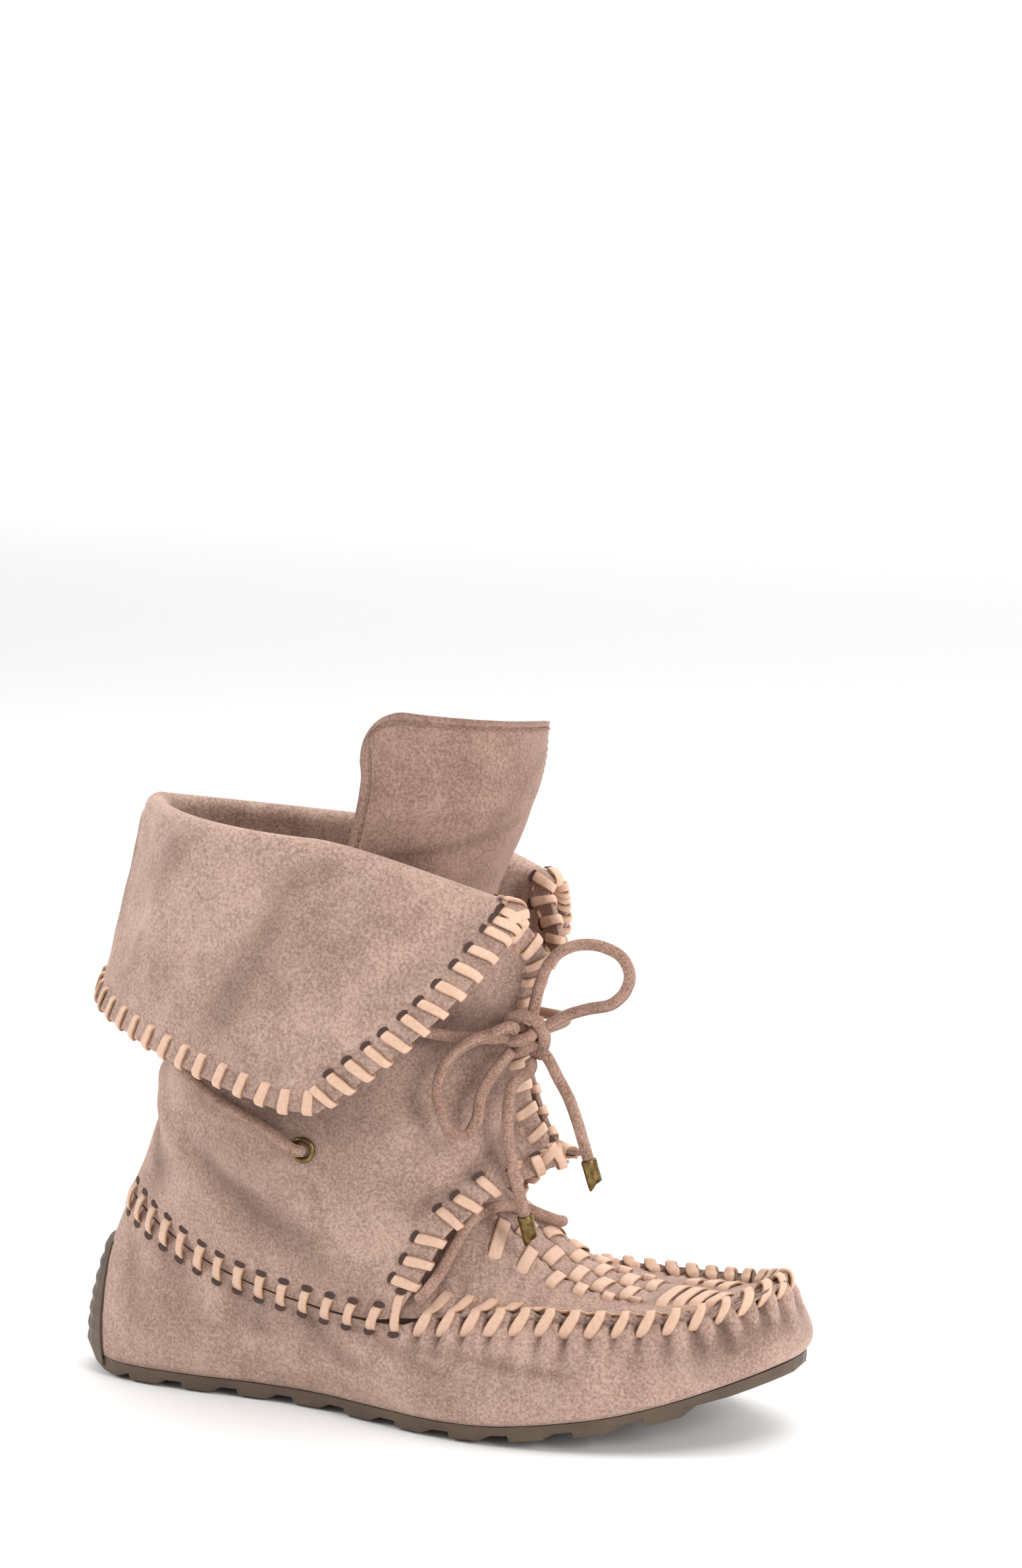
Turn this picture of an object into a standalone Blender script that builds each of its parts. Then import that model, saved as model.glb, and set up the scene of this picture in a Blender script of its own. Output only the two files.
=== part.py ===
"""Moccasin boot, right foot: a soft suede boot on a flat lugged rubber sole.

Metres, +Z up. +X points to the toe, -Y is the outer (lateral) side, and the tread stands on Z = 0.
The origin is under the middle of the boot.
"""

import bmesh
import bpy
import numpy as np
from mathutils import Vector

# Sole
sole_length = 0.258
sole_forward = 0.001
ball_width = 0.094
band_height = 0.0062
lug_depth = 0.0026
lug_pitch = 0.0215
lug_count = 10
lug_gap = 0.008
groove_width = 0.004
toe_spring = 0.0215
tab_height = 0.043
tab_thickness = 0.0017
tab_ridge = 0.0007
tab_ridges = 7
tab_spread = 0.135
tab_root = 0.0035

# Upper
upper_wall = 0.0018
margin_width = 0.011
seam_length = 0.240
seam_forward = 0.005
seam_height = 0.063
crown_height = 0.050
seam_ridge = 0.0026
strip_rise = 0.0007
belly = 0.0030

# Shaft and cuff
shaft_wall = 0.0018
shaft_length = 0.140
shaft_width = 0.082
shaft_height = 0.140
collar_height = 0.036
inner_setback = 0.048
inner_droop = 0.075
roll_radius = 0.0032
hem_back = 0.1215
hem_length = 0.0935
hem_half_width = 0.063
hem_side_height = 0.111
hem_back_height = 0.136

# Tongue
tongue_wall = 0.0020
tongue_radius = 0.0365
tongue_top = 0.239

# Insole, eyelets and cord
insole_thickness = 0.003
insole_gap = 0.0030
eyelet_outer = 0.009
eyelet_hole = 0.0054
eyelet_height = 0.0012
cord_diameter = 0.004
knot_radius = 0.0066
aglet_length = 0.0115
aglet_diameter = 0.0052

clearance = 0.0003

# How fine the meshes are
ring_stations = 64
shaft_stations = 41
cord_bevel_count = 2

# Feather line: along is a share of the sole length, the sides are shares of the ball width.
feather_rows = (
    # along, lateral, medial
    (0.000, 0.000, 0.000),
    (0.015, 0.165, 0.154),
    (0.057, 0.271, 0.261),
    (0.120, 0.314, 0.309),
    (0.200, 0.330, 0.314),
    (0.290, 0.332, 0.293),
    (0.380, 0.362, 0.282),
    (0.470, 0.436, 0.309),
    (0.560, 0.505, 0.367),
    (0.640, 0.530, 0.426),
    (0.720, 0.512, 0.457),
    (0.800, 0.457, 0.452),
    (0.875, 0.367, 0.410),
    (0.940, 0.245, 0.319),
    (0.985, 0.096, 0.197),
    (1.000, -0.040, 0.040),
)

# Lift of the tread off the ground, as a share of the toe spring.
spring_rows = (
    # along, lift
    (0.00, 0.14),
    (0.03, 0.06),
    (0.07, 0.01),
    (0.10, 0.00),
    (0.57, 0.00),
    (0.64, 0.03),
    (0.74, 0.17),
    (0.80, 0.29),
    (0.88, 0.54),
    (0.93, 0.73),
    (1.00, 1.00),
)

# Seam line that ends the wrap: along is a share of the seam length, sides are shares of the ball
# width, heights are shares of the seam height and crowns shares of the crown height.
seam_rows = (
    # along, lateral, medial, lateral height, medial height, crown
    (0.000, 0.000, 0.000, 1.000, 1.000, 1.00),
    (0.033, 0.128, 0.122, 0.955, 0.955, 1.00),
    (0.096, 0.245, 0.239, 0.870, 0.870, 1.00),
    (0.196, 0.340, 0.314, 0.730, 0.730, 1.00),
    (0.320, 0.404, 0.330, 0.627, 0.635, 1.00),
    (0.483, 0.463, 0.372, 0.579, 0.600, 1.05),
    (0.600, 0.447, 0.399, 0.625, 0.630, 0.62),
    (0.683, 0.404, 0.388, 0.650, 0.655, 0.24),
    (0.767, 0.372, 0.362, 0.655, 0.665, 0.08),
    (0.867, 0.324, 0.298, 0.683, 0.690, 0.06),
    (0.942, 0.245, 0.207, 0.746, 0.738, 0.04),
    (0.980, 0.133, 0.101, 0.802, 0.794, 0.02),
    (1.000, -0.021, 0.021, 0.825, 0.825, 0.00),
)

# Shaft levels: back, front and gap are shares of the shaft length, the sides shares of its width,
# the heights shares of its height above the collar seam's lowest point.
shaft_rows = (
    # back, front, lateral, medial, gap, back height, side height, front height, back pinch
    (-0.738, 0.340, 0.500, 0.450, 0.065, 0.370, 0.230, 0.400, 1.00),
    (-0.710, 0.276, 0.505, 0.455, 0.075, 0.500, 0.420, 0.520, 1.00),
    (-0.702, 0.255, 0.490, 0.440, 0.060, 0.660, 0.600, 0.660, 1.05),
    (-0.712, 0.290, 0.500, 0.445, 0.080, 0.860, 0.800, 0.775, 1.10),
    (-0.712, 0.328, 0.525, 0.440, 0.115, 1.040, 0.985, 0.870, 1.20),
    (-0.705, 0.278, 0.540, 0.430, 0.165, 1.165, 1.130, 0.940, 1.30),
)

# Free lower edge of the near flap, from the collar corner to its front point.
flap_rows = (
    # along as a share of the shaft length, side of its width, height of its height
    (0.022, 0.540, 0.276),
    (0.096, 0.494, 0.396),
    (0.129, 0.445, 0.468),
    (0.179, 0.390, 0.518),
    (0.210, 0.345, 0.554),
    (0.289, 0.240, 0.605),
    (0.364, 0.085, 0.628),
)

# Tongue levels: front is a share of the shaft length, turns are degrees from straight ahead.
tongue_rows = (
    # height share of the tongue top, front, radius share, lateral turn, medial turn
    (0.440, 0.104, 1.05, 70, 42),
    (0.560, 0.090, 1.05, 80, 39),
    (0.711, 0.118, 1.02, 95, 39),
    (0.820, 0.194, 1.00, 100, 34),
    (0.900, 0.244, 1.00, 105, 30),
    (1.000, 0.258, 0.99, 110, 27),
)

# Eyelets and cord on the shaft: shares of the way from the back to a flap's front edge, and of its rise.
rear_eyelet = (0.54, 0.320)
front_eyelet = (0.62, 0.600)
back_run_rows = (
    # side, way round, rise
    (-1, 0.35, 0.392),
    (-1, 0.27, 0.430),
    (-1, 0.18, 0.470),
    (-1, 0.09, 0.495),
    (-1, 0.04, 0.500),
    (1, 0.04, 0.500),
    (1, 0.09, 0.495),
    (1, 0.18, 0.470),
    (1, 0.27, 0.430),
    (1, 0.35, 0.392),
)
front_run_rows = (
    # way round, rise, extra lift
    (0.74, 0.588, 0.0006),
    (0.80, 0.572, 0.0010),
    (0.85, 0.562, 0.0014),
)

# Instep tie over the apron: along as a share of the shaft length, across from seam to seam.
tie_rows = (
    # along, across
    (0.078, -0.93),
    (0.100, -0.88),
    (0.122, -0.80),
    (0.134, -0.70),
    (0.155, -0.48),
    (0.190, -0.27),
    (0.232, -0.06),
    (0.262, 0.12),
    (0.274, 0.30),
    (0.262, 0.50),
    (0.215, 0.70),
    (0.140, 0.84),
    (0.088, 0.915),
)

# Bow: places chosen by hand, in metres.
knot_centre = np.array([0.0408, -0.0201, 0.1323])
bow_loops = (
    (
        "loop_low",
        (-0.20, -1.0, 0.55),
        (
            (0.0325, -0.0318, 0.1345),
            (0.0265, -0.0358, 0.1322),
            (0.0215, -0.0385, 0.1275),
            (0.0180, -0.0405, 0.1190),
            (0.0190, -0.0410, 0.1100),
            (0.0230, -0.0400, 0.1025),
            (0.0268, -0.0385, 0.1018),
            (0.0297, -0.0365, 0.1065),
            (0.0307, -0.0345, 0.1150),
            (0.0335, -0.0315, 0.1215),
        ),
        (-0.42, -0.85, -0.60),
    ),
    (
        "loop_high",
        (0.35, -0.2, 1.0),
        (
            (0.0470, -0.0235, 0.1510),
            (0.0505, -0.0250, 0.1580),
            (0.0570, -0.0262, 0.1638),
            (0.0635, -0.0270, 0.1658),
            (0.0712, -0.0280, 0.1655),
            (0.0772, -0.0280, 0.1625),
            (0.0797, -0.0278, 0.1570),
            (0.0780, -0.0270, 0.1515),
            (0.0735, -0.0260, 0.1470),
            (0.0640, -0.0240, 0.1440),
            (0.0560, -0.0222, 0.1410),
        ),
        (1.0, -0.2, 0.55),
    ),
)
bow_tails = (
    (
        "tail_low",
        (0.35, -0.35, -1.0),
        (
            (0.0400, -0.0300, 0.1180),
            (0.0390, -0.0315, 0.1100),
            (0.0388, -0.0305, 0.1000),
            (0.0400, -0.0275, 0.0860),
            (0.0410, -0.0260, 0.0800),
            (0.0423, -0.0252, 0.0735),
        ),
    ),
    (
        "tail_high",
        (1.0, -0.4, -0.6),
        (
            (0.0535, -0.0235, 0.1200),
            (0.0572, -0.0238, 0.1140),
            (0.0600, -0.0238, 0.1070),
            (0.0625, -0.0236, 0.0990),
            (0.0640, -0.0235, 0.0940),
        ),
    ),
)


def smooth(knots, values, at, period=0.0):
    """Cubic curve through the values at the knots; a period closes it into a ring."""
    knots = np.asarray(knots, float)
    values = np.asarray(values, float)
    at = np.asarray(at, float)
    if period:
        knots = np.concatenate([knots[-2:] - period, knots, knots[:2] + period])
        values = np.concatenate([values[-2:], values, values[:2]])
        at = np.mod(at, period)
    slopes = np.gradient(values, knots, axis=0)
    left = np.clip(np.searchsorted(knots, at, side="right") - 1, 0, len(knots) - 2)
    width = knots[left + 1] - knots[left]
    t = (at - knots[left]) / width
    if values.ndim > 1:
        width = width[..., None]
        t = t[..., None]
    start, end = values[left], values[left + 1]
    return (
        (1 + 2 * t) * (1 - t) ** 2 * start
        + t * (1 - t) ** 2 * width * slopes[left]
        + t * t * (3 - 2 * t) * end
        + t * t * (t - 1) * width * slopes[left + 1]
    )


def turn_of(along):
    """Turn from the heel, 0, to the toe, 1, at which an evenly turned ring has reached this share."""
    return np.arccos(1 - 2 * np.asarray(along, float)) / np.pi


def ring_values(rows, lateral, medial, turn):
    """A table's two columns as one ring: turn 0 is the heel, 1 the toe, then back along the inside."""
    rows = np.array(rows)
    turns = turn_of(rows[:, 0])
    knots = np.concatenate([turns, 2 - turns[-2:0:-1]])
    values = np.concatenate([rows[:, lateral], rows[-2:0:-1, medial]])
    return smooth(knots, values, turn, period=2.0)


def side_rows(rows):
    """The same table with the lateral side's own sign, so that both sides are Y."""
    rows = np.array(rows)
    rows[:, 1] *= -1
    rows[-1, 1] = rows[-1, 2]
    return rows


def spring(x):
    """Lift of the tread off the ground at this X."""
    along = np.clip((np.asarray(x, float) - sole_forward) / sole_length + 0.5, 0, 1)
    rows = np.array(spring_rows)
    return toe_spring * np.maximum(smooth(rows[:, 0], rows[:, 1], along), 0)


def on_sole(points, lift):
    """The same plan points, this far above the sole's top face."""
    points = np.array(points)
    points[..., 2] = spring(points[..., 0]) + band_height + lift
    return points


def feather(turn):
    """Point of the feather line, where the upper meets the top edge of the sole."""
    x = sole_forward - 0.5 * sole_length * np.cos(np.pi * np.asarray(turn, float))
    y = ball_width * ring_values(side_rows(feather_rows), 1, 2, turn)
    return np.stack([x, y, spring(x) + band_height], -1)


def outward(turn, curve, step=0.01):
    """Level direction that points out of a ring."""
    along = curve(np.asarray(turn) + step) - curve(np.asarray(turn) - step)
    across = np.stack([-along[..., 1], along[..., 0], 0 * along[..., 0]], -1)
    return -across / np.linalg.norm(across, axis=-1, keepdims=True)


def seam(turn):
    """Point of the seam line: the collar seam behind, the raised apron seam in front."""
    x = seam_forward - 0.5 * seam_length * np.cos(np.pi * np.asarray(turn, float))
    y = ball_width * ring_values(side_rows(seam_rows), 1, 2, turn)
    z = seam_height * ring_values(seam_rows, 3, 4, turn)
    return np.stack([x, y, z], -1)


def wall(turn, rise):
    """Point of the wrap's outer face; rise runs from 0 at the sole to 1 at the seam."""
    foot = feather(turn) + np.array([0, 0, clearance])
    top = seam(turn)
    rise = np.asarray(rise, float)
    lean = rise**1.5
    point = foot + (top - foot) * np.stack([lean, lean, rise], -1)
    heel = np.clip(np.minimum(np.mod(turn, 2), 2 - np.mod(turn, 2)) / 0.3, 0.35, 1)
    swell = belly * heel * np.sin(np.pi * rise**0.75)
    return point + outward(turn, feather) * swell[..., None]


def stations(count):
    """Turns all round the ring, a little wider apart at the heel and the toe."""
    even = 2 * np.arange(count) / count
    return even + 0.35 / (2 * np.pi) * np.sin(2 * np.pi * even)


def new_object(name, points, faces, material, flat=False):
    mesh = bpy.data.meshes.new(name)
    mesh.from_pydata([tuple(p) for p in points], [], faces)
    mesh.validate()
    work = bmesh.new()
    work.from_mesh(mesh)
    bmesh.ops.recalc_face_normals(work, faces=work.faces)
    work.to_mesh(mesh)
    work.free()
    obj = bpy.data.objects.new(name, mesh)
    bpy.context.scene.collection.objects.link(obj)
    mesh.materials.append(material)
    if not flat:
        mesh.shade_smooth()
        mesh.set_sharp_from_angle(angle=np.radians(40))
    return obj


def add_wall(obj, thickness, offset):
    """Gives an open surface its wall; offset -1 keeps its outer face, 0 its middle."""
    solidify = obj.modifiers.new("wall", "SOLIDIFY")
    solidify.thickness = thickness
    solidify.offset = offset
    solidify.use_even_offset = True
    solidify.use_rim = True


def make_material(name, colour, roughness, metallic=0.0):
    material = bpy.data.materials.new(name)
    material.use_nodes = True
    shader = material.node_tree.nodes["Principled BSDF"]
    shader.inputs["Base Color"].default_value = (*colour, 1.0)
    shader.inputs["Roughness"].default_value = roughness
    shader.inputs["Metallic"].default_value = metallic
    return material


def band(low, high, count):
    """Quads between two closed rows of points that start at these indices."""
    return [
        (low + k, low + (k + 1) % count, high + (k + 1) % count, high + k)
        for k in range(count)
    ]


def throat_station(turns):
    """First station in front of the collar corner, where the apron starts."""
    corner = flap_rows[0][0] * shaft_length
    return int(np.argmax(seam(turns)[: len(turns) // 2, 0] > corner))


def apron_height(turn, across):
    """Height of the apron above the line between its two seams; across runs from -1 to 1."""
    crown = ring_values(seam_rows, 5, 5, turn)
    return crown_height * crown * (1 - np.abs(across) ** 2.0)


def make_upper(material):
    """Wrap, raised seam and woven apron as one wall, open at the collar and under the foot."""
    turns = stations(ring_stations)
    half = ring_stations // 2
    first = throat_station(turns)
    out = outward(turns, feather)
    base = feather(turns) + np.array([0, 0, clearance])
    rows = [on_sole(base - out * margin_width, clearance), on_sole(base - out * 0.0012, clearance)]
    rows += [wall(turns, np.full(ring_stations, rise)) for rise in (0.07, 0.28, 0.5, 0.72, 0.9)]
    front = np.clip((np.minimum(turns, 2 - turns) - turns[first]) / 0.06, 0, 1)[:, None]
    top = seam(turns)
    rows += [top - np.array([0, 0, 1]) * 0.0015 * front]
    points = np.concatenate(rows)
    faces = []
    for row in range(len(rows) - 1):
        faces += band(row * ring_stations, (row + 1) * ring_stations, ring_stations)

    # The apron crosses from each outer station to its inner mate, over a pinched ridge at each seam.
    across = np.array([-0.98, -0.9, -0.72, -0.5, -0.25, 0, 0.25, 0.5, 0.72, 0.9, 0.98])
    start = len(points)
    last_row = (len(rows) - 1) * ring_stations
    crossings = []
    for k in range(first, half):
        outer, inner = top[k], top[ring_stations - k]
        line = outer + (inner - outer) * (across[:, None] + 1) / 2
        line[:, 2] += apron_height(turns[k], across)
        pinch = np.where(np.abs(across) > 0.95, seam_ridge * front[k, 0], 0)
        line[:, 2] += pinch
        crossings.append(line)
    points = np.concatenate([points] + crossings)
    width = len(across)
    for n in range(len(crossings) - 1):
        row = start + n * width
        lateral, medial = last_row + first + n, last_row + ring_stations - first - n
        faces.append((lateral, row, row + width, lateral + 1))
        faces += [(row + c, row + c + 1, row + width + c + 1, row + width + c) for c in range(width - 1)]
        faces.append((row + width - 1, medial, medial - 1, row + 2 * width - 1))
    tip = last_row + half
    row = start + (len(crossings) - 1) * width
    faces.append((tip - 1, row, tip))
    faces += [(row + c, row + c + 1, tip) for c in range(width - 1)]
    faces.append((row + width - 1, tip + 1, tip))
    upper = new_object("upper", points, faces, material)
    raise_strips(upper, start, width)
    add_wall(upper, upper_wall, -1)
    return upper


def raise_strips(upper, start, width):
    """Raises every other cell of the apron's middle, as the cross strips show between the long ones."""
    work = bmesh.new()
    work.from_mesh(upper.data)
    chosen = []
    for face in work.faces:
        indices = sorted(v.index for v in face.verts)
        if indices[0] < start or len(indices) < 4:
            continue
        row, column = divmod(indices[0] - start, width)
        if 3 <= row <= 11 and 2 <= column <= width - 4 and (row + column) % 2:
            chosen.append(face)
    bmesh.ops.inset_individual(work, faces=chosen, thickness=0.0006, depth=strip_rise)
    work.to_mesh(upper.data)
    work.free()


def lug_columns():
    """X of each cross-section of the tread with its share of the lug depth, 1 on a lug, 0 between."""
    heel, toe = sole_forward - 0.5 * sole_length, sole_forward + 0.5 * sole_length
    lug = lug_pitch - lug_gap
    first = heel + 0.092 * sole_length
    columns = []
    for k in range(lug_count):
        x = first + k * lug_pitch
        columns += [(x - 0.0005, 0.0), (x, 1.0), (x + 0.75 * lug, 1.0), (x + 1.1 * lug, 0.0)]
    ends = np.array([0.004, 0.012, 0.024, 0.042, 0.066]) * sole_length
    columns = [(heel + end, 1.0) for end in ends] + columns
    last = columns[-1][0]
    columns += [(toe - end, 0.3) for end in ends[::-1] if toe - end > last + 0.002]
    return columns


def make_outsole(material):
    """Flat band with lugs below and a ridged tab up the heel, moulded as one."""
    columns = lug_columns()
    heel, toe = sole_forward - 0.5 * sole_length, sole_forward + 0.5 * sole_length
    xs = np.array([c[0] for c in columns])
    depth = np.array([c[1] for c in columns])
    turns = turn_of((xs - sole_forward) / sole_length + 0.5)
    lateral, medial = feather(turns)[:, 1], feather(2 - turns)[:, 1]
    groove = 0.5 * groove_width / ball_width
    shares = np.array([0, 0.05, 0.25, 0.49 - groove, 0.5 - groove, 0.5 + groove, 0.51 + groove, 0.75, 0.95, 1])
    cut = np.array([0.75, 1, 1, 1, 0, 0, 1, 1, 1, 0.75])
    edge = np.array([1, 0, 0, 0, 0, 0, 0, 0, 0, 1])
    sections = []
    for x, d, y0, y1 in zip(xs, depth, lateral, medial):
        lift = spring(x)
        ys = y0 + (y1 - y0) * shares
        bottom = lift + lug_depth * (1 - d * cut) + 0.0004 * edge
        inset = 0.0006 * np.sign(ys - 0.5 * (y0 + y1))
        under = np.stack([np.full(10, x), ys - inset * edge, bottom], -1)
        rib = lift + lug_depth + 0.0009
        sides = ((y1, rib), (y1, lift + band_height), (0.5 * (y0 + y1), lift + band_height), (y0, lift + band_height), (y0, rib))
        sections.append(np.concatenate([under, [(x, y, z) for y, z in sides]]))
    count = len(sections[0])
    points = np.concatenate(sections)
    faces = []
    for n in range(len(sections) - 1):
        faces += band(n * count, (n + 1) * count, count)
    caps = []
    for n, end in ((0, heel), (len(sections) - 1, toe)):
        ring = [n * count + k for k in range(count)]
        y = feather(0.0 if end < 0 else 1.0)[1]
        lift = spring(end)
        caps += [(end, y, lift + lug_depth + 0.001), (end, y, lift + band_height)]
        low, high = len(points) + len(caps) - 2, len(points) + len(caps) - 1
        for k in range(count):
            a, b = ring[k], ring[(k + 1) % count]
            faces.append((a, b, high if 11 <= k <= 12 else low))
        faces.append((ring[11], high, low))
        faces.append((ring[13], high, low))
    points = np.concatenate([points, caps])
    sole = new_object("outsole", points, faces, material)
    tab = make_tab(material)
    union = sole.modifiers.new("tab", "BOOLEAN")
    union.operation = "UNION"
    union.solver = "EXACT"
    union.object = tab
    return sole


def make_tab(material):
    """Guide solid of the heel tab, joined to the sole by a union."""
    rows = 2 * tab_ridges + 1
    columns = 11
    rises = np.linspace(0, 1, rows)
    outer, inner = [], []
    reach = tab_height / seam_height
    for n, share in enumerate(rises):
        spread = tab_spread * (1 - 0.45 * share**1.5)
        turn = np.mod(np.linspace(-spread, spread, columns), 2.0)
        skin = wall(turn, np.full(columns, reach * share))
        out = outward(turn, feather)
        edge = 1 - np.abs(np.linspace(-1, 1, columns)) ** 6
        bump = tab_ridge * (n % 2) * edge
        outer.append(skin + out * (clearance + tab_thickness * (0.45 + 0.55 * edge) + bump)[:, None])
        inner.append(skin + out * clearance)
    turn = np.mod(np.linspace(-tab_spread, tab_spread, columns), 2.0)
    foot = feather(turn)
    out = outward(turn, feather)
    down = np.array([0, 0, -1.0])
    outer.insert(0, foot + down * tab_root + out * 0.0006)
    inner.insert(0, foot + down * tab_root - out * 0.002)
    inner[1] = foot + down * 0.0008 + out * 1.5 * clearance
    rows += 1
    outer, inner = np.array(outer), np.array(inner)
    points = np.concatenate([outer.reshape(-1, 3), inner.reshape(-1, 3)])
    faces = []
    size = rows * columns
    for r in range(rows - 1):
        for c in range(columns - 1):
            k = r * columns + c
            faces.append((k, k + 1, k + columns + 1, k + columns))
            faces.append((size + k, size + k + columns, size + k + columns + 1, size + k + 1))
    rim = [(r, 0) for r in range(rows)] + [(rows - 1, c) for c in range(1, columns)]
    rim += [(r, columns - 1) for r in range(rows - 2, -1, -1)] + [(0, c) for c in range(columns - 2, 0, -1)]
    flat = [r * columns + c for r, c in rim]
    for a, b in zip(flat, flat[1:] + flat[:1]):
        faces.append((a, b, size + b, size + a))
    tab = new_object("heel_tab_guide", points, faces, material)
    tab.hide_render = True
    tab.display_type = "WIRE"
    return tab


def make_insole(material):
    """Thin footbed on the turned-in margin of the upper."""
    turns = stations(48)
    out = outward(turns, feather)
    edge = feather(turns) - out * (upper_wall + insole_gap)
    low = on_sole(edge, 2 * clearance + 1.15 * upper_wall)
    high = low + np.array([0, 0, insole_thickness])
    points = np.concatenate([low, high])
    faces = band(0, 48, 48)
    for start, flip in ((0, True), (48, False)):
        for k in range(1, 24 - 1):
            quad = (start + k, start + k + 1, start + 47 - k, start + 48 - k)
            faces.append(quad[::-1] if flip else quad)
        for a, b, c in ((0, 1, 47), (23, 24, 25)):
            tri = (start + a, start + b, start + c)
            faces.append(tri[::-1] if flip else tri)
    return new_object("insole", points, faces, material)


def collar_turn(x):
    """Turn at which the collar seam passes this X, on the outer side."""
    turns = np.linspace(0, 0.75, 301)
    return np.interp(x, seam(turns)[:, 0], turns)


def shaft_bottom(a):
    """Lower edge of the shaft: it stands on the collar seam, then each flap runs free to its point."""
    rows = np.array(flap_rows) * np.array([shaft_length, shaft_width, shaft_height])
    side = np.sign(a)
    back, front = seam(0.0)[0] + 0.5 * shaft_wall, rows[-1, 0]
    angle = np.abs(a) * np.radians(172)
    x = back + (front - back) * (1 - np.cos(angle)) / (1 - np.cos(np.radians(172)))
    turn = collar_turn(x)
    turn = np.where(side < 0, turn, 2 - turn)
    behind = seam(turn) - outward(turn, feather) * 0.5 * upper_wall + np.array([0, 0, 2.6 * clearance])
    along = np.maximum(x, rows[0, 0])
    width, height = smooth(rows[:, 0], rows[:, 1], along), smooth(rows[:, 0], rows[:, 2], along)
    ahead = np.stack([x, side * width, height], -1)
    share = np.clip((x - rows[0, 0] + 0.008) / 0.008, 0, 1)[:, None]
    ahead_y = np.where(side > 0, 0.92, 1.0)
    ahead[:, 1] *= ahead_y
    return behind * (1 - share) + ahead * share


def shaft_level(row, a):
    """One level of the shaft as a ring open at the front."""
    back, front, lateral, medial, gap, rear, flank, fore, pinch = row
    front = front - inner_setback * (np.asarray(a) > 0)
    back, front, gap = back * shaft_length, front * shaft_length, gap * shaft_length
    half = shaft_width * np.where(a < 0, lateral, medial)
    limit = np.pi - np.arcsin(gap / half)
    angle = np.abs(a) * limit
    reach = (front - back) / (1 - np.cos(limit))
    x = back + reach * (1 - np.cos(angle))
    power = np.where(angle < 0.5 * np.pi, pinch, 1.0)
    y = np.sign(a) * half * np.abs(np.sin(angle)) ** power
    ahead = np.clip(-np.cos(angle), 0, 1) ** 1.5
    behind = np.clip(np.cos(angle), 0, 1) ** 1.2
    z = flank + (rear - flank) * behind + (fore - flank) * ahead
    droop = inner_droop * (a > 0) * np.sin(angle) * np.clip(flank - 0.6, 0, 1)
    return np.stack([x, y, (z - droop) * shaft_height + collar_height], -1)


def shaft_sheet(a, rise):
    """Middle of the shaft's sheet; a runs from -1, the near front edge, to 1; rise from 0 to 1."""
    levels = np.array([shaft_bottom(a)] + [shaft_level(row, a) for row in shaft_rows])
    knots = np.linspace(0, 1, len(levels))
    return smooth(knots, levels, rise)


def hem(a):
    """Lower edge of the cuff, from the back round to its front corner."""
    angle = np.abs(a) * np.radians(98)
    x = -hem_back + hem_length * (1 - np.cos(angle))
    y = np.sign(a) * hem_half_width * np.sin(angle)
    z = hem_side_height + (hem_back_height - hem_side_height) * np.maximum(np.cos(angle), 0)
    return np.stack([x, y, z], -1)


def cuff_out(a):
    """Level direction in which the cuff folds away from the shaft."""
    ridge = shaft_sheet(a, 1.0)
    along = np.gradient(ridge, axis=0)
    across = np.stack([-along[:, 1], along[:, 0], 0 * along[:, 0]], -1)
    return across / np.linalg.norm(across, axis=-1, keepdims=True)


def cuff_sheet(a, fall):
    """Middle of the cuff's sheet, from its roll, 0, down to the hem, 1."""
    ridge = shaft_sheet(a, 1.0)
    start = ridge + cuff_out(a) * 2 * roll_radius
    end = hem(a)
    edge = np.abs(a)
    sway = np.stack([0.0035 * (1 - edge) ** 2 + 0.010 * edge**6, np.sign(a) * 0.012 * edge**2, -0.003 * edge**6], -1)
    drop = np.array([0, 0, 1.0])
    point = start + (end - start) * fall + sway * np.sin(np.pi * fall)
    return point + drop * 0.004 * np.sin(np.pi * fall)


def make_shaft(material):
    """Shaft with its two flaps, rolled over at the top into a deep outward cuff, as one sheet."""
    a = np.linspace(-1, 1, shaft_stations)
    rows = [shaft_sheet(a, rise) for rise in np.linspace(0, 1, 9)]
    ridge, out = rows[-1], cuff_out(a)
    up = np.array([0, 0, 1.0])
    for angle in np.radians([45, 90, 135]):
        rows.append(ridge + out * roll_radius * (1 - np.cos(angle)) + up * roll_radius * np.sin(angle))
    rows += [cuff_sheet(a, fall) for fall in (0, 0.15, 0.38, 0.7, 1.0)]
    points = np.concatenate(rows)
    faces = []
    for r in range(len(rows) - 1):
        for c in range(shaft_stations - 1):
            k = r * shaft_stations + c
            faces.append((k, k + 1, k + shaft_stations + 1, k + shaft_stations))
    shaft = new_object("shaft", points, faces, material)
    add_wall(shaft, shaft_wall, 0)
    return shaft


def tongue_sheet(share, rise):
    """Middle of the tongue; share runs from 0, its outer edge, to 1; rise from the throat, 0, to 1."""
    throat = collar_turn(flap_rows[0][0] * shaft_length)
    outer, inner = seam(throat), seam(2 - throat)
    across = -0.74 + 1.48 * share
    base = outer + (inner - outer) * (across[:, None] + 1) / 2
    base[:, 2] += apron_height(throat, across) - 0.5 * tongue_wall
    base[:, 0] -= 0.5 * tongue_wall + 0.004
    levels = [base]
    for height, front, radius, lateral, medial in tongue_rows:
        turn = np.radians(-lateral + (lateral + medial) * share)
        reach = tongue_radius * radius
        x = front * shaft_length - reach * (1 - np.cos(turn))
        y = 0.003 * min(1, height) + reach * np.sin(turn)
        z = np.full(len(share), height * tongue_top)
        if height == 1.0:
            corner = np.clip((0.20 - share) / 0.20, 0, 1)
            z = z - 0.009 * np.clip(share - 0.15, 0, 1) - 0.017 * (1 - np.sqrt(1 - corner**2))
        levels.append(np.stack([x, y, z], -1))
    return smooth(np.linspace(0, 1, len(levels)), np.array(levels), rise)


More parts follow.
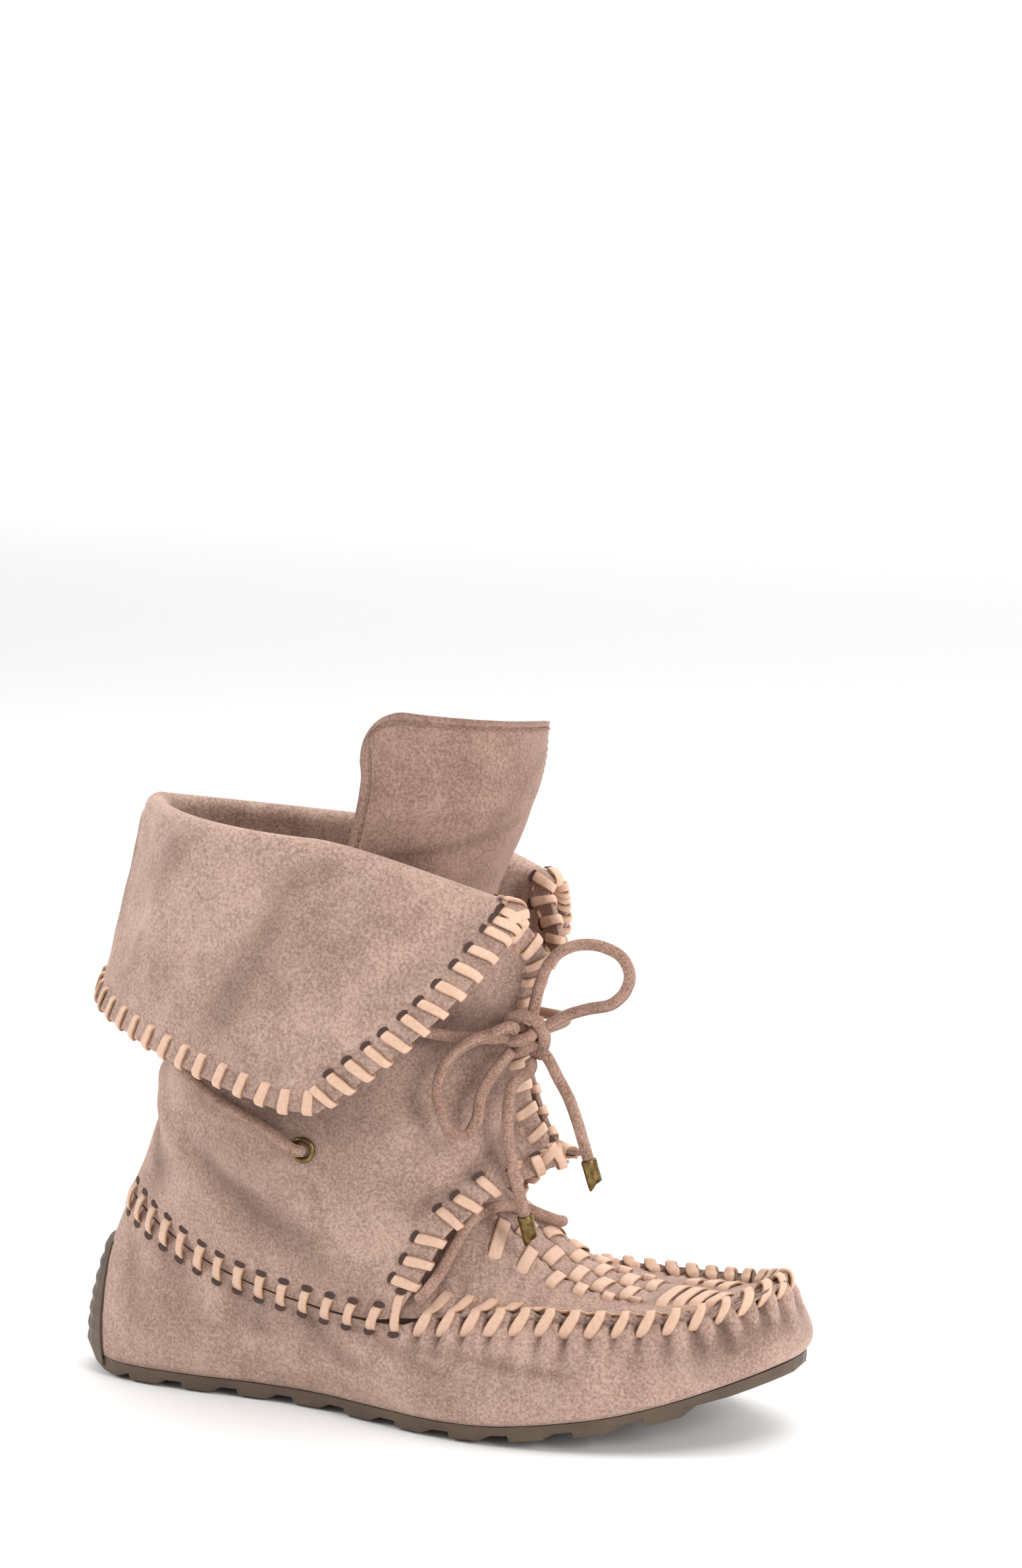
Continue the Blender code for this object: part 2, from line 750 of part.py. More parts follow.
def make_tongue(material):
    share = np.linspace(0, 1, 15) ** 1.25
    rises = 1 - (1 - np.linspace(0, 1, 12)) ** 1.25
    points = np.concatenate([tongue_sheet(share, rise) for rise in rises])
    count = len(share)
    faces = []
    for r in range(len(rises) - 1):
        for c in range(count - 1):
            k = r * count + c
            faces.append((k, k + 1, k + count + 1, k + count))
    tongue = new_object("tongue", points, faces, material)
    add_wall(tongue, tongue_wall, 0)
    return tongue


def apron_frame(along, across):
    """Point and outward normal of the apron's outer face; along is X as a share of the shaft length."""
    turn = collar_turn(along * shaft_length)

    def at(turn, across):
        outer, inner = seam(turn), seam(2 - turn)
        point = outer + (inner - outer) * (across + 1) / 2
        return point + np.array([0, 0, apron_height(turn, across)])

    point = at(turn, across)
    normal = np.cross(at(turn + 0.01, across) - point, at(turn, across + 0.02) - point)
    return point, normal / np.linalg.norm(normal)


def shaft_frame(a, rise):
    """Point of the middle of the shaft's sheet, and its outward normal."""
    near = np.array([a, a + 0.01])
    here, beside = shaft_sheet(near, rise)
    above = shaft_sheet(near, rise + 0.01)[0]
    normal = np.cross(above - here, beside - here)
    return here, normal / np.linalg.norm(normal)


def on_shaft(a, rise, lift):
    """Point this far outside the shaft's outer face."""
    point, normal = shaft_frame(a, rise)
    return point + normal * (0.5 * shaft_wall + lift)


def through(points, spacing):
    """A route's own points, with more from a smooth curve through them where they lie far apart."""
    points = np.array(points, float)
    lengths = np.linalg.norm(np.diff(points, axis=0), axis=1)
    knots = np.concatenate([[0], np.cumsum(lengths)])
    at = [0.0]
    for start, length in zip(knots, lengths):
        pieces = max(1, int(round(length / spacing)))
        at += [start + length * (k + 1) / pieces for k in range(pieces)]
    return smooth(knots, points, np.array(at))


def make_cord(name, route, material, spacing=0.0085):
    """Round cord along a route."""
    curve = bpy.data.curves.new(name, "CURVE")
    curve.dimensions = "3D"
    curve.bevel_depth = 0.5 * cord_diameter
    curve.bevel_resolution = cord_bevel_count
    curve.use_fill_caps = True
    points = through(route, spacing)
    spline = curve.splines.new("POLY")
    spline.points.add(len(points) - 1)
    for target, point in zip(spline.points, points):
        target.co = (*point, 1.0)
    curve.materials.append(material)
    cord = bpy.data.objects.new(name, curve)
    bpy.context.scene.collection.objects.link(cord)
    return cord


def into_eyelet(place, side, lift, away):
    """Route's last points at an eyelet: over its rim and down into its hole, from the away side."""
    a, rise = place
    centre, normal = shaft_frame(side * a, rise)
    beside, _ = shaft_frame(side * (a + away[0]), rise + away[1])
    along = beside - centre
    along -= normal * along.dot(normal)
    along /= np.linalg.norm(along)
    face = centre + normal * (0.5 * shaft_wall + clearance)
    over = eyelet_height + 0.5 * cord_diameter + clearance
    return [
        face + normal * 0.0006,
        face + normal * 0.0020,
        face + normal * (over + 0.0004) + along * 0.0016,
        face + normal * (over + 0.0007) + along * 0.0052,
        face + normal * lift + along * 0.0105,
    ]


def make_eyelet(name, place, side, material):
    """Rolled brass ring lying on the shaft."""
    segments = 12
    outer, hole, height = 0.5 * eyelet_outer, 0.5 * eyelet_hole, eyelet_height
    middle = 0.5 * (outer + hole)
    profile = ((hole, 0), (outer, 0), (outer, 0.45 * height), (middle, height), (hole, 0.7 * height))
    centre, normal = shaft_frame(side * place[0], place[1])
    turned = Vector((0, 0, 1)).rotation_difference(Vector(normal)).to_matrix()
    base = Vector(centre + normal * (0.5 * shaft_wall + clearance))
    points = []
    for k in range(segments):
        angle = 2 * np.pi * k / segments
        for radius, rise in profile:
            local = Vector((radius * np.cos(angle), radius * np.sin(angle), rise))
            points.append(base + turned @ local)
    size = len(profile)
    faces = []
    for k in range(segments):
        faces += band(k * size, (k + 1) % segments * size, size)
    return new_object(name, points, faces, material)


def knot_exit(direction, reach=0.0):
    """Point just outside the knot in this direction."""
    direction = np.array(direction, float)
    direction /= np.linalg.norm(direction)
    return knot_centre + direction * (knot_radius + clearance + reach)


def make_knot(material):
    bpy.ops.mesh.primitive_uv_sphere_add(segments=14, ring_count=8, radius=knot_radius)
    knot = bpy.context.object
    knot.name = "knot"
    knot.location = knot_centre
    knot.data.materials.append(material)
    knot.data.shade_smooth()
    return knot


def make_aglet(name, route, material):
    """Brass tip on a tail: a round tube with its end pressed to a slant."""
    end, before = np.array(route[-1]), np.array(route[-2])
    along = (end - before) / np.linalg.norm(end - before)
    turned = Vector((0, 0, 1)).rotation_difference(Vector(along)).to_matrix()
    base = Vector(end + along * clearance)
    radius, length = 0.5 * aglet_diameter, aglet_length
    points = []
    for height, width, slant in ((0, 0.92, 0), (0.0006, 1, 0), (0.55 * length, 1, 0), (length, 0.86, 0.0022)):
        for k in range(10):
            angle = 2 * np.pi * k / 10
            lean = slant * np.cos(angle)
            local = Vector((radius * np.cos(angle), width * radius * np.sin(angle), height - slant + lean))
            points.append(base + turned @ local)
    faces = [tuple(range(9, -1, -1)), tuple(range(30, 40))]
    for row in range(3):
        faces += band(row * 10, row * 10 + 10, 10)
    return new_object(name, points, faces, material)


def tie_route():
    lift = 0.5 * cord_diameter + 2 * clearance + strip_rise
    route = []
    for along, across in tie_rows:
        point, normal = apron_frame(along, across)
        route.append(point + normal * lift)
    return route


def run_routes():
    """Routes of the drawcord's runs, each between an eyelet and the next eyelet or the knot."""
    lift = 0.5 * cord_diameter + 3 * clearance
    near_side, far_side = (-0.75, -0.75, 0.05), (0.12, 1.0, 0.02)
    near_end = into_eyelet(rear_eyelet, -1, lift, (-0.1, 0.05))
    far_end = into_eyelet(rear_eyelet, 1, lift, (-0.1, 0.05))
    round_back = [on_shaft(side * a, rise, lift) for side, a, rise in back_run_rows]
    back = near_end + round_back + far_end[::-1]
    near = into_eyelet(front_eyelet, -1, lift, (0.1, -0.01))
    near += [on_shaft(-a, rise, lift + more) for a, rise, more in front_run_rows]
    near += [knot_exit(near_side, 0.0035), knot_exit(near_side)]
    far = into_eyelet(front_eyelet, 1, lift, (0.1, -0.01))
    far += [on_shaft(a, rise, lift + more) for a, rise, more in front_run_rows]
    far += [knot_exit(far_side, 0.020), knot_exit(far_side, 0.0075), knot_exit(far_side)]
    return {"drawcord_back": back, "drawcord_near": near, "drawcord_far": far}


def clear_scene():
    for obj in list(bpy.data.objects):
        bpy.data.objects.remove(obj)


def main():
    clear_scene()
    suede = make_material("suede", (0.47, 0.33, 0.28), 0.95)
    lining = make_material("lining", (0.55, 0.40, 0.27), 0.8)
    rubber = make_material("rubber", (0.13, 0.10, 0.075), 0.55)
    make_outsole(rubber)
    make_insole(lining)
    make_upper(suede)
    make_shaft(suede)
    make_tongue(suede)
    cord = make_material("suede_cord", (0.40, 0.27, 0.23), 0.95)
    brass = make_material("antique_brass", (0.22, 0.16, 0.07), 0.42, 1.0)
    for name, place in (("rear", rear_eyelet), ("front", front_eyelet)):
        make_eyelet("eyelet_near_" + name, place, -1, brass)
        make_eyelet("eyelet_far_" + name, place, 1, brass)
    for name, route in run_routes().items():
        make_cord(name, route, cord)
    make_cord("instep_tie", tie_route(), cord)
    make_knot(cord)
    for name, start, middle, finish in bow_loops:
        route = [knot_exit(start), knot_exit(start, 0.003)] + list(np.array(middle))
        route += [knot_exit(finish, 0.003), knot_exit(finish)]
        make_cord(name, route, cord, spacing=0.007)
    for name, start, middle in bow_tails:
        route = [knot_exit(start), knot_exit(start, 0.003)] + list(np.array(middle))
        make_cord(name, route, cord)
        make_aglet(name.replace("tail", "aglet"), route, brass)


main()
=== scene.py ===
# Moccasin boot, right foot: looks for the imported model.
# Metres, +Z up, +X to the toe, -Y the outer side. Every piece is a surface worked out with numpy.

import bpy
import numpy as np
from mathutils import Matrix, Vector


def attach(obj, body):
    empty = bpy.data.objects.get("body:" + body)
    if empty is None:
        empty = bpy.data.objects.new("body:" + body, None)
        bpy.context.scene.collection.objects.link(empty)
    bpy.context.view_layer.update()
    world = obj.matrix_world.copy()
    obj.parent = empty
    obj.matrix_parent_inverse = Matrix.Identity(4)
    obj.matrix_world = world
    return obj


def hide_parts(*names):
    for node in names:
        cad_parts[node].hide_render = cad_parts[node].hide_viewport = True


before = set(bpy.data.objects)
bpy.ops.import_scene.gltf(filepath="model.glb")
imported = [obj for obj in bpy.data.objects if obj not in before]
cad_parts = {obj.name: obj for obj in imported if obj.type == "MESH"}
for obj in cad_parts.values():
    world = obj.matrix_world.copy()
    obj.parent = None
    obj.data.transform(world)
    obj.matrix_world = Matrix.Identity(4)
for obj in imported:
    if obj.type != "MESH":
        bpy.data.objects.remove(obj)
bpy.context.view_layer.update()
mm = 0.001

# Camera

cameraSetup = dict(
    azimuth=22.0,  # degrees from the outer side towards the toe
    elevation=12.3,
    distance=1.300,
    aim=(0.0057, 0.0, 0.112),
    sideStep=0.020,  # the view is centred this far to the right of the aim
    lens=88.49,
    shiftUp=0.1866,
)


def makeCamera(setup):
    azimuth, elevation = np.radians([setup["azimuth"], setup["elevation"]])
    level = np.cos(elevation)
    back = np.array([np.sin(azimuth) * level, -np.cos(azimuth) * level, np.sin(elevation)])
    right = np.array([np.cos(azimuth), np.sin(azimuth), 0.0])
    data = bpy.data.cameras.new("camera")
    data.lens = setup["lens"]
    data.sensor_width = 36.0
    data.shift_y = setup["shiftUp"]
    camera = bpy.data.objects.new("camera", data)
    bpy.context.scene.collection.objects.link(camera)
    place = np.array(setup["aim"]) + right * setup["sideStep"] + back * setup["distance"]
    turn = Matrix((right, np.cross(back, right), back)).transposed().to_4x4()
    camera.matrix_world = Matrix.Translation(Vector(place)) @ turn
    bpy.context.scene.camera = camera


makeCamera(cameraSetup)
print("camera placed")

# Mesh and curve helpers


def smoothThrough(knots, values, at, period=0.0):
    # Cubic Hermite curve with central-difference slopes. Between knots w apart, as t goes from 0 to 1:
    # first value (1+2t)(1-t)^2 + its slope w t(1-t)^2 + second value t^2(3-2t) + its slope w t^2(t-1)
    knots, values, at = (np.asarray(x, float) for x in (knots, values, at))
    if period:
        knots = np.concatenate([knots[-2:] - period, knots, knots[:2] + period])
        values = np.concatenate([values[-2:], values, values[:2]])
        at = np.mod(at, period)
    slopes = np.gradient(values, knots, axis=0)
    left = np.clip(np.searchsorted(knots, at, side="right") - 1, 0, len(knots) - 2)
    width = knots[left + 1] - knots[left]
    t = (at - knots[left]) / width
    if values.ndim > 1:
        width, t = width[..., None], t[..., None]
    start, end = values[left], values[left + 1]
    return (
        (1 + 2 * t) * (1 - t) ** 2 * start
        + t * (1 - t) ** 2 * width * slopes[left]
        + t * t * (3 - 2 * t) * end
        + t * t * (t - 1) * width * slopes[left + 1]
    )


def unit(vectors):
    return vectors / np.maximum(np.linalg.norm(vectors, axis=-1, keepdims=True), 1e-12)


def lengthAlong(points):
    # Running length of a line of points, starting at zero
    steps = np.linalg.norm(np.diff(points, axis=0), axis=1)
    return np.concatenate([[0], np.cumsum(steps)])


def gridNormals(points, closed=False):
    # Cross product of the two central differences of a grid [rows, columns, 3]
    down = np.gradient(points, axis=0)
    if closed:
        wide = np.concatenate([points[:, -1:], points, points[:, :1]], axis=1)
        across = np.gradient(wide, axis=1)[:, 1:-1]
    else:
        across = np.gradient(points, axis=1)
    return unit(np.cross(across, down))


def meshObject(name, points, faces, material, smooth=True):
    mesh = bpy.data.meshes.new(name)
    faces = np.asarray(faces, np.int32)
    corners = faces.shape[1]
    mesh.vertices.add(len(points))
    mesh.vertices.foreach_set("co", np.asarray(points, np.float32).ravel())
    mesh.loops.add(faces.size)
    mesh.loops.foreach_set("vertex_index", faces.ravel())
    mesh.polygons.add(len(faces))
    mesh.polygons.foreach_set("loop_start", np.arange(0, faces.size, corners, dtype=np.int32))
    mesh.polygons.foreach_set("loop_total", np.full(len(faces), corners, np.int32))
    mesh.update(calc_edges=True)
    mesh.validate()
    if smooth:
        mesh.shade_smooth()
    piece = bpy.data.objects.new(name, mesh)
    bpy.context.scene.collection.objects.link(piece)
    mesh.materials.append(material)
    return piece


def addAttribute(piece, name, values):
    attribute = piece.data.attributes.new(name, "FLOAT", "POINT")
    attribute.data.foreach_set("value", np.asarray(values, np.float32).ravel())


def gridFaces(rows, columns, closed=False, flip=False):
    wide = columns if closed else columns - 1
    r, c = np.meshgrid(np.arange(rows - 1), np.arange(wide), indexing="ij")
    a = r * columns + c
    b = r * columns + (c + 1) % columns
    faces = np.stack([a, b, b + columns, a + columns], -1).reshape(-1, 4)
    return faces[:, ::-1] if flip else faces


def gridPiece(name, points, material, closed=False, flip=False, shade=None):
    rows, columns = points.shape[:2]
    piece = meshObject(name, points.reshape(-1, 3), gridFaces(rows, columns, closed, flip), material)
    addAttribute(piece, "shade", np.zeros(rows * columns) if shade is None else shade)
    return piece


def finishPiece(piece, slot, *nodes):
    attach(piece, "root")
    if nodes:
        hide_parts(*nodes)
    return piece


# Materials


def hexColour(code):
    # sRGB hex to linear: c/12.92 below 0.04045, else ((c+0.055)/1.055)^2.4
    parts = np.array([int(code[i : i + 2], 16) for i in (1, 3, 5)]) / 255
    linear = np.where(parts <= 0.04045, parts / 12.92, ((parts + 0.055) / 1.055) ** 2.4)
    return (*linear, 1.0)


def addNode(tree, kind, settings=(), links=()):
    # Settings name a socket or a property; links are (input socket, other node, its output socket)
    node = tree.nodes.new(kind)
    for key, value in dict(settings).items():
        if isinstance(key, str) and hasattr(node, key):
            setattr(node, key, value)
        else:
            node.inputs[key].default_value = value
    for socket, other, output in links:
        tree.links.new(other.outputs[output], node.inputs[socket])
    return node


def startMaterial(name):
    material = bpy.data.materials.new(name)
    material.use_nodes = True
    tree = material.node_tree
    shader = tree.nodes["Principled BSDF"]
    return material, tree, shader


def setSockets(node, values):
    for socket, value in values.items():
        node.inputs[socket].default_value = value


def setRamp(ramp, *stops):
    # Each stop is a position and a linear colour
    for element, (position, colour) in zip(ramp.color_ramp.elements, stops):
        element.position = position
        element.color = tuple(colour)


def giveWall(piece, wall, offset):
    # Offset -1 grows the wall inwards from the surface, 0 to both sides
    thickness = piece.modifiers.new("thickness", "SOLIDIFY")
    thickness.thickness = wall
    thickness.offset = offset


def suedeMaterial(name, light, dark, deep, grain=1.0 * mm, patches=16 * mm, sheen=0.35):
    # Suede is the buffed flesh side of a hide: no gloss, a soft nap that catches light at the edges,
    # mottled grain about 1 mm across and slow patches where the nap has been stroked another way.
    material, tree, shader = startMaterial(name)
    place = addNode(tree, "ShaderNodeTexCoord")
    onObject = [("Vector", place, "Object")]
    fineLook = {"Scale": 1 / grain, "Detail": 4.0, "Roughness": 0.65}
    fine = addNode(tree, "ShaderNodeTexNoise", fineLook, onObject)
    slowLook = {"Scale": 1 / patches, "Detail": 3.0, "Roughness": 0.55, "Distortion": 0.6}
    slow = addNode(tree, "ShaderNodeTexNoise", slowLook, onObject)
    fineSpan = {"From Min": 0.32, "From Max": 0.68, "To Min": -0.62, "To Max": 0.62}
    slowSpan = {"From Min": 0.3, "From Max": 0.7, "To Min": 0.22, "To Max": 0.80}
    fineMix = addNode(tree, "ShaderNodeMapRange", fineSpan, [("Value", fine, "Fac")])
    slowMix = addNode(tree, "ShaderNodeMapRange", slowSpan, [("Value", slow, "Fac")])
    addUp = {"operation": "ADD", "use_clamp": True}
    both = addNode(tree, "ShaderNodeMath", addUp, [(0, fineMix, 0), (1, slowMix, 0)])
    colours = addNode(tree, "ShaderNodeValToRGB", {}, [("Fac", both, "Value")])
    setRamp(colours, (0.0, hexColour(dark)), (1.0, hexColour(light)))
    # Each piece's shade attribute mixes in the deep colour: painted shade in grooves, creases, slits and
    # below the cuff, in places mixed with dark nap
    paintedShade = addNode(tree, "ShaderNodeAttribute", {"attribute_name": "shade"})
    deepen = {"data_type": "RGBA", 7: hexColour(deep)}
    mixed = addNode(tree, "ShaderNodeMix", deepen, [(0, paintedShade, "Fac"), (6, colours, "Color")])
    bump = addNode(tree, "ShaderNodeBump", {"Strength": 0.9, "Distance": 0.4 * mm}, [("Height", fine, "Fac")])
    tree.links.new(mixed.outputs[2], shader.inputs["Base Color"])
    tree.links.new(bump.outputs["Normal"], shader.inputs["Normal"])
    setSockets(shader, {
        "Roughness": 0.95, "Specular IOR Level": 0.15, "Sheen Weight": sheen,
        "Sheen Roughness": 0.55, "Sheen Tint": hexColour("#F3DCD0"),
    })
    return material


def leatherMaterial(name, face, edge, roughness, grain=1.2 * mm, depth=0.08 * mm):
    # Smooth grain-side leather: a faint pebble, soft satin light, and a tan raw edge where it was cut.
    material, tree, shader = startMaterial(name)
    place = addNode(tree, "ShaderNodeTexCoord")
    pebble = {"Scale": 1 / grain, "Detail": 3.0, "Roughness": 0.5}
    fine = addNode(tree, "ShaderNodeTexNoise", pebble, [("Vector", place, "Object")])
    tint = addNode(tree, "ShaderNodeValToRGB", {}, [("Fac", fine, "Fac")])
    base = np.array(hexColour(face))
    setRamp(tint, (0.3, base * (0.9, 0.88, 0.86, 1)), (0.7, np.minimum(base * (1.05, 1.05, 1.05, 1), 1)))
    raw = addNode(tree, "ShaderNodeAttribute", {"attribute_name": "shade"})
    rawEdge = {"data_type": "RGBA", 7: hexColour(edge)}
    mixed = addNode(tree, "ShaderNodeMix", rawEdge, [(0, raw, "Fac"), (6, tint, "Color")])
    bump = addNode(tree, "ShaderNodeBump", {"Strength": 0.35, "Distance": depth}, [("Height", fine, "Fac")])
    tree.links.new(mixed.outputs[2], shader.inputs["Base Color"])
    tree.links.new(bump.outputs["Normal"], shader.inputs["Normal"])
    setSockets(shader, {"Roughness": roughness})
    return material


def rubberMaterial():
    # Moulded brown rubber: even colour, a satin skin with a faint bloom and fine scuffs.
    material, tree, shader = startMaterial("mouldedRubber")
    place = addNode(tree, "ShaderNodeTexCoord")
    onObject = [("Vector", place, "Object")]
    bloom = addNode(tree, "ShaderNodeTexNoise", {"Scale": 1 / (14 * mm), "Detail": 4.0}, onObject)
    fine = addNode(tree, "ShaderNodeTexNoise", {"Scale": 1 / (0.8 * mm), "Detail": 2.0}, onObject)
    tint = addNode(tree, "ShaderNodeValToRGB", {}, [("Fac", bloom, "Fac")])
    setRamp(tint, (0.3, hexColour("#4B3A2D")), (0.72, hexColour("#62503E")))
    gloss = addNode(tree, "ShaderNodeMapRange", {"To Min": 0.42, "To Max": 0.62}, [("Value", bloom, "Fac")])
    bump = addNode(tree, "ShaderNodeBump", {"Strength": 0.2, "Distance": 0.1 * mm}, [("Height", fine, "Fac")])
    tree.links.new(tint.outputs["Color"], shader.inputs["Base Color"])
    tree.links.new(gloss.outputs[0], shader.inputs["Roughness"])
    tree.links.new(bump.outputs["Normal"], shader.inputs["Normal"])
    return material


def brassMaterial():
    # Antiqued brass: yellow metal darkened in a bath, then rubbed back on its high places.
    material, tree, shader = startMaterial("antiqueBrass")
    place = addNode(tree, "ShaderNodeTexCoord")
    spots = {"Scale": 1 / (2.2 * mm), "Detail": 4.0, "Roughness": 0.6}
    patina = addNode(tree, "ShaderNodeTexNoise", spots, [("Vector", place, "Object")])
    tint = addNode(tree, "ShaderNodeValToRGB", {}, [("Fac", patina, "Fac")])
    setRamp(tint, (0.32, hexColour("#55462B")), (0.7, hexColour("#937B4C")))
    gloss = addNode(tree, "ShaderNodeMapRange", {"To Min": 0.5, "To Max": 0.28}, [("Value", patina, "Fac")])
    tree.links.new(tint.outputs["Color"], shader.inputs["Base Color"])
    tree.links.new(gloss.outputs[0], shader.inputs["Roughness"])
    setSockets(shader, {"Metallic": 1.0})
    return material


suede = suedeMaterial("rosySuede", "#C3A596", "#92766A", "#4E3A32")
darkSuede = suedeMaterial("rosySuedeTongue", "#AE8E80", "#84665A", "#4E3A32", sheen=0.3)
cordSuede = suedeMaterial("rolledSuedeCord", "#B99788", "#82614F", "#5B4238", grain=0.7 * mm, patches=9 * mm)
blush = leatherMaterial("blushLeather", "#DAB59D", "#A87C4E", 0.5)
tanLeather = leatherMaterial("tanInsoleLeather", "#B98F63", "#8F6A42", 0.55)
rubber = rubberMaterial()
brass = brassMaterial()
thread = leatherMaterial("waxedThread", "#8A6A5C", "#8A6A5C", 0.6)
# Dark colour for the discs over the punched holes: painted shadow inside each hole
holeShadow = leatherMaterial("paintedHoleShadow", "#4A3630", "#4A3630", 0.9)
print("materials made")

# Forms that the pieces share: the sole's feather line, the seam line and the wrap between them

last = dict(
    soleLength=0.258,
    soleForward=0.001,
    ballWidth=0.094,
    bandHeight=0.0062,
    toeSpring=0.0215,
    seamLength=0.240,
    seamForward=0.005,
    seamHeight=0.063,
    crownHeight=0.050,
    belly=0.0030,
    gap=0.0003,
    ridgeWidth=1.7 * mm,  # of the apron's raised edge beside the seam
    featherRows=np.array([
        # along, outer side, inner side
        (0.000, 0.000, 0.000), (0.015, 0.165, 0.154), (0.057, 0.271, 0.261), (0.120, 0.314, 0.309),
        (0.200, 0.330, 0.314), (0.290, 0.332, 0.293), (0.380, 0.362, 0.282), (0.470, 0.436, 0.309),
        (0.560, 0.505, 0.367), (0.640, 0.530, 0.426), (0.720, 0.512, 0.457), (0.800, 0.457, 0.452),
        (0.875, 0.367, 0.410), (0.940, 0.245, 0.319), (0.985, 0.096, 0.197), (1.000, -0.040, 0.040),
    ]),
    springRows=np.array([
        # along, lift
        (0.00, 0.14), (0.03, 0.06), (0.07, 0.01), (0.10, 0.00), (0.57, 0.00), (0.64, 0.03),
        (0.74, 0.17), (0.80, 0.29), (0.88, 0.54), (0.93, 0.73), (1.00, 1.00),
    ]),
    seamRows=np.array([
        # along, outer side, inner side, outer height, inner height, crown
        (0.000, 0.000, 0.000, 1.000, 1.000, 1.00), (0.033, 0.128, 0.122, 0.955, 0.955, 1.00),
        (0.096, 0.245, 0.239, 0.870, 0.870, 1.00), (0.196, 0.340, 0.314, 0.730, 0.730, 1.00),
        (0.320, 0.404, 0.330, 0.627, 0.635, 1.00), (0.483, 0.463, 0.372, 0.579, 0.600, 1.05),
        (0.600, 0.447, 0.399, 0.625, 0.630, 0.62), (0.683, 0.404, 0.388, 0.650, 0.655, 0.24),
        (0.767, 0.372, 0.362, 0.655, 0.665, 0.08), (0.867, 0.324, 0.298, 0.683, 0.690, 0.06),
        (0.942, 0.245, 0.207, 0.746, 0.738, 0.04), (0.980, 0.133, 0.101, 0.802, 0.794, 0.02),
        (1.000, -0.021, 0.021, 0.825, 0.825, 0.00),
    ]),
)


def ringValues(rows, outer, inner, turn):
    # A table's two columns as one closed ring: turn 0 is the heel, 1 the toe, then back on the inner side
    turns = np.arccos(1 - 2 * rows[:, 0]) / np.pi
    knots = np.concatenate([turns, 2 - turns[-2:0:-1]])
    values = np.concatenate([rows[:, outer], rows[-2:0:-1, inner]])
    return smoothThrough(knots, values, turn, period=2.0)


def sideRows(rows):
    rows = rows.copy()
    rows[:, 1] *= -1
    rows[-1, 1] = rows[-1, 2]
    return rows


def soleSpring(x):
    along = np.clip((x - last["soleForward"]) / last["soleLength"] + 0.5, 0, 1)
    rows = last["springRows"]
    return last["toeSpring"] * np.maximum(smoothThrough(rows[:, 0], rows[:, 1], along), 0)


def featherLine(turn):
    # x = forward - length/2 cos(pi turn), y from the table, z = spring(x) + band
    x = last["soleForward"] - 0.5 * last["soleLength"] * np.cos(np.pi * turn)
    y = last["ballWidth"] * ringValues(sideRows(last["featherRows"]), 1, 2, turn)
    return np.stack([x, y, soleSpring(x) + last["bandHeight"]], -1)


def seamLine(turn):
    # x = forward - length/2 cos(pi turn), y and z from the table
    x = last["seamForward"] - 0.5 * last["seamLength"] * np.cos(np.pi * turn)
    y = last["ballWidth"] * ringValues(sideRows(last["seamRows"]), 1, 2, turn)
    z = last["seamHeight"] * ringValues(last["seamRows"], 3, 4, turn)
    return np.stack([x, y, z], -1)


def outwardOf(turn, line, step=0.01):
    along = line(turn + step) - line(turn - step)
    return unit(np.stack([along[..., 1], -along[..., 0], 0 * along[..., 0]], -1))


def wrapWall(turn, rise):
    # Foot plus (top - foot) scaled by rise^1.5 level and rise upright, swelled by belly sin(pi rise^0.75)
    turn, rise = np.broadcast_arrays(np.asarray(turn, float), np.asarray(rise, float))
    foot = featherLine(turn) + np.array([0, 0, last["gap"]])
    lean = rise**1.5
    point = foot + (seamLine(turn) - foot) * np.stack([lean, lean, rise], -1)
    near = np.minimum(np.mod(turn, 2), 2 - np.mod(turn, 2))
    swell = last["belly"] * np.clip(near / 0.3, 0.35, 1) * np.sin(np.pi * rise**0.75)
    return point + outwardOf(turn, featherLine) * swell[..., None]


def turnAtX(x):
    turns = np.linspace(0, 1, 4001)
    return np.interp(x, seamLine(turns)[:, 0], turns)


def apronPoint(x, across, ridge=0.0):
    # Straight line between the two seams at this x, raised by crown (1 - across^2) and the edge ridge
    x, across = np.broadcast_arrays(np.asarray(x, float), np.asarray(across, float))
    turn = turnAtX(x)
    outer, inner = seamLine(turn), seamLine(2 - turn)
    point = outer + (inner - outer) * (across[..., None] + 1) / 2
    crown = ringValues(last["seamRows"], 5, 5, turn)
    edge = (1 - np.abs(across)) * 0.5 * np.linalg.norm(inner - outer, axis=-1)
    raised = ridge * np.exp(-((edge / last["ridgeWidth"]) ** 2))
    lift = last["crownHeight"] * crown * (1 - across**2) + raised
    return point + lift[..., None] * np.array([0, 0, 1])


def apronAt(x, y):
    # The same surface by level place: across is worked out from y between the two seams
    x, y = np.broadcast_arrays(np.asarray(x, float), np.asarray(y, float))
    turn = turnAtX(x)
    outer, inner = seamLine(turn)[..., 1], seamLine(2 - turn)[..., 1]
    return apronPoint(x, np.clip(2 * (y - outer) / (inner - outer) - 1, -1, 1))


def softNoise(points, size, seed):
    # Sum of six sines along directions drawn from this seed: a smooth random swell of this feature size
    random = np.random.default_rng(seed)
    total = 0
    for _ in range(6):
        direction = unit(random.normal(size=3)) / size * random.uniform(0.6, 1.4)
        total = total + np.sin(points @ direction * 2 * np.pi + random.uniform(0, 6.28))
    return total / 6


# Shaft, cuff and tongue as sheets: a runs from -1, the near front edge, round the back to 1

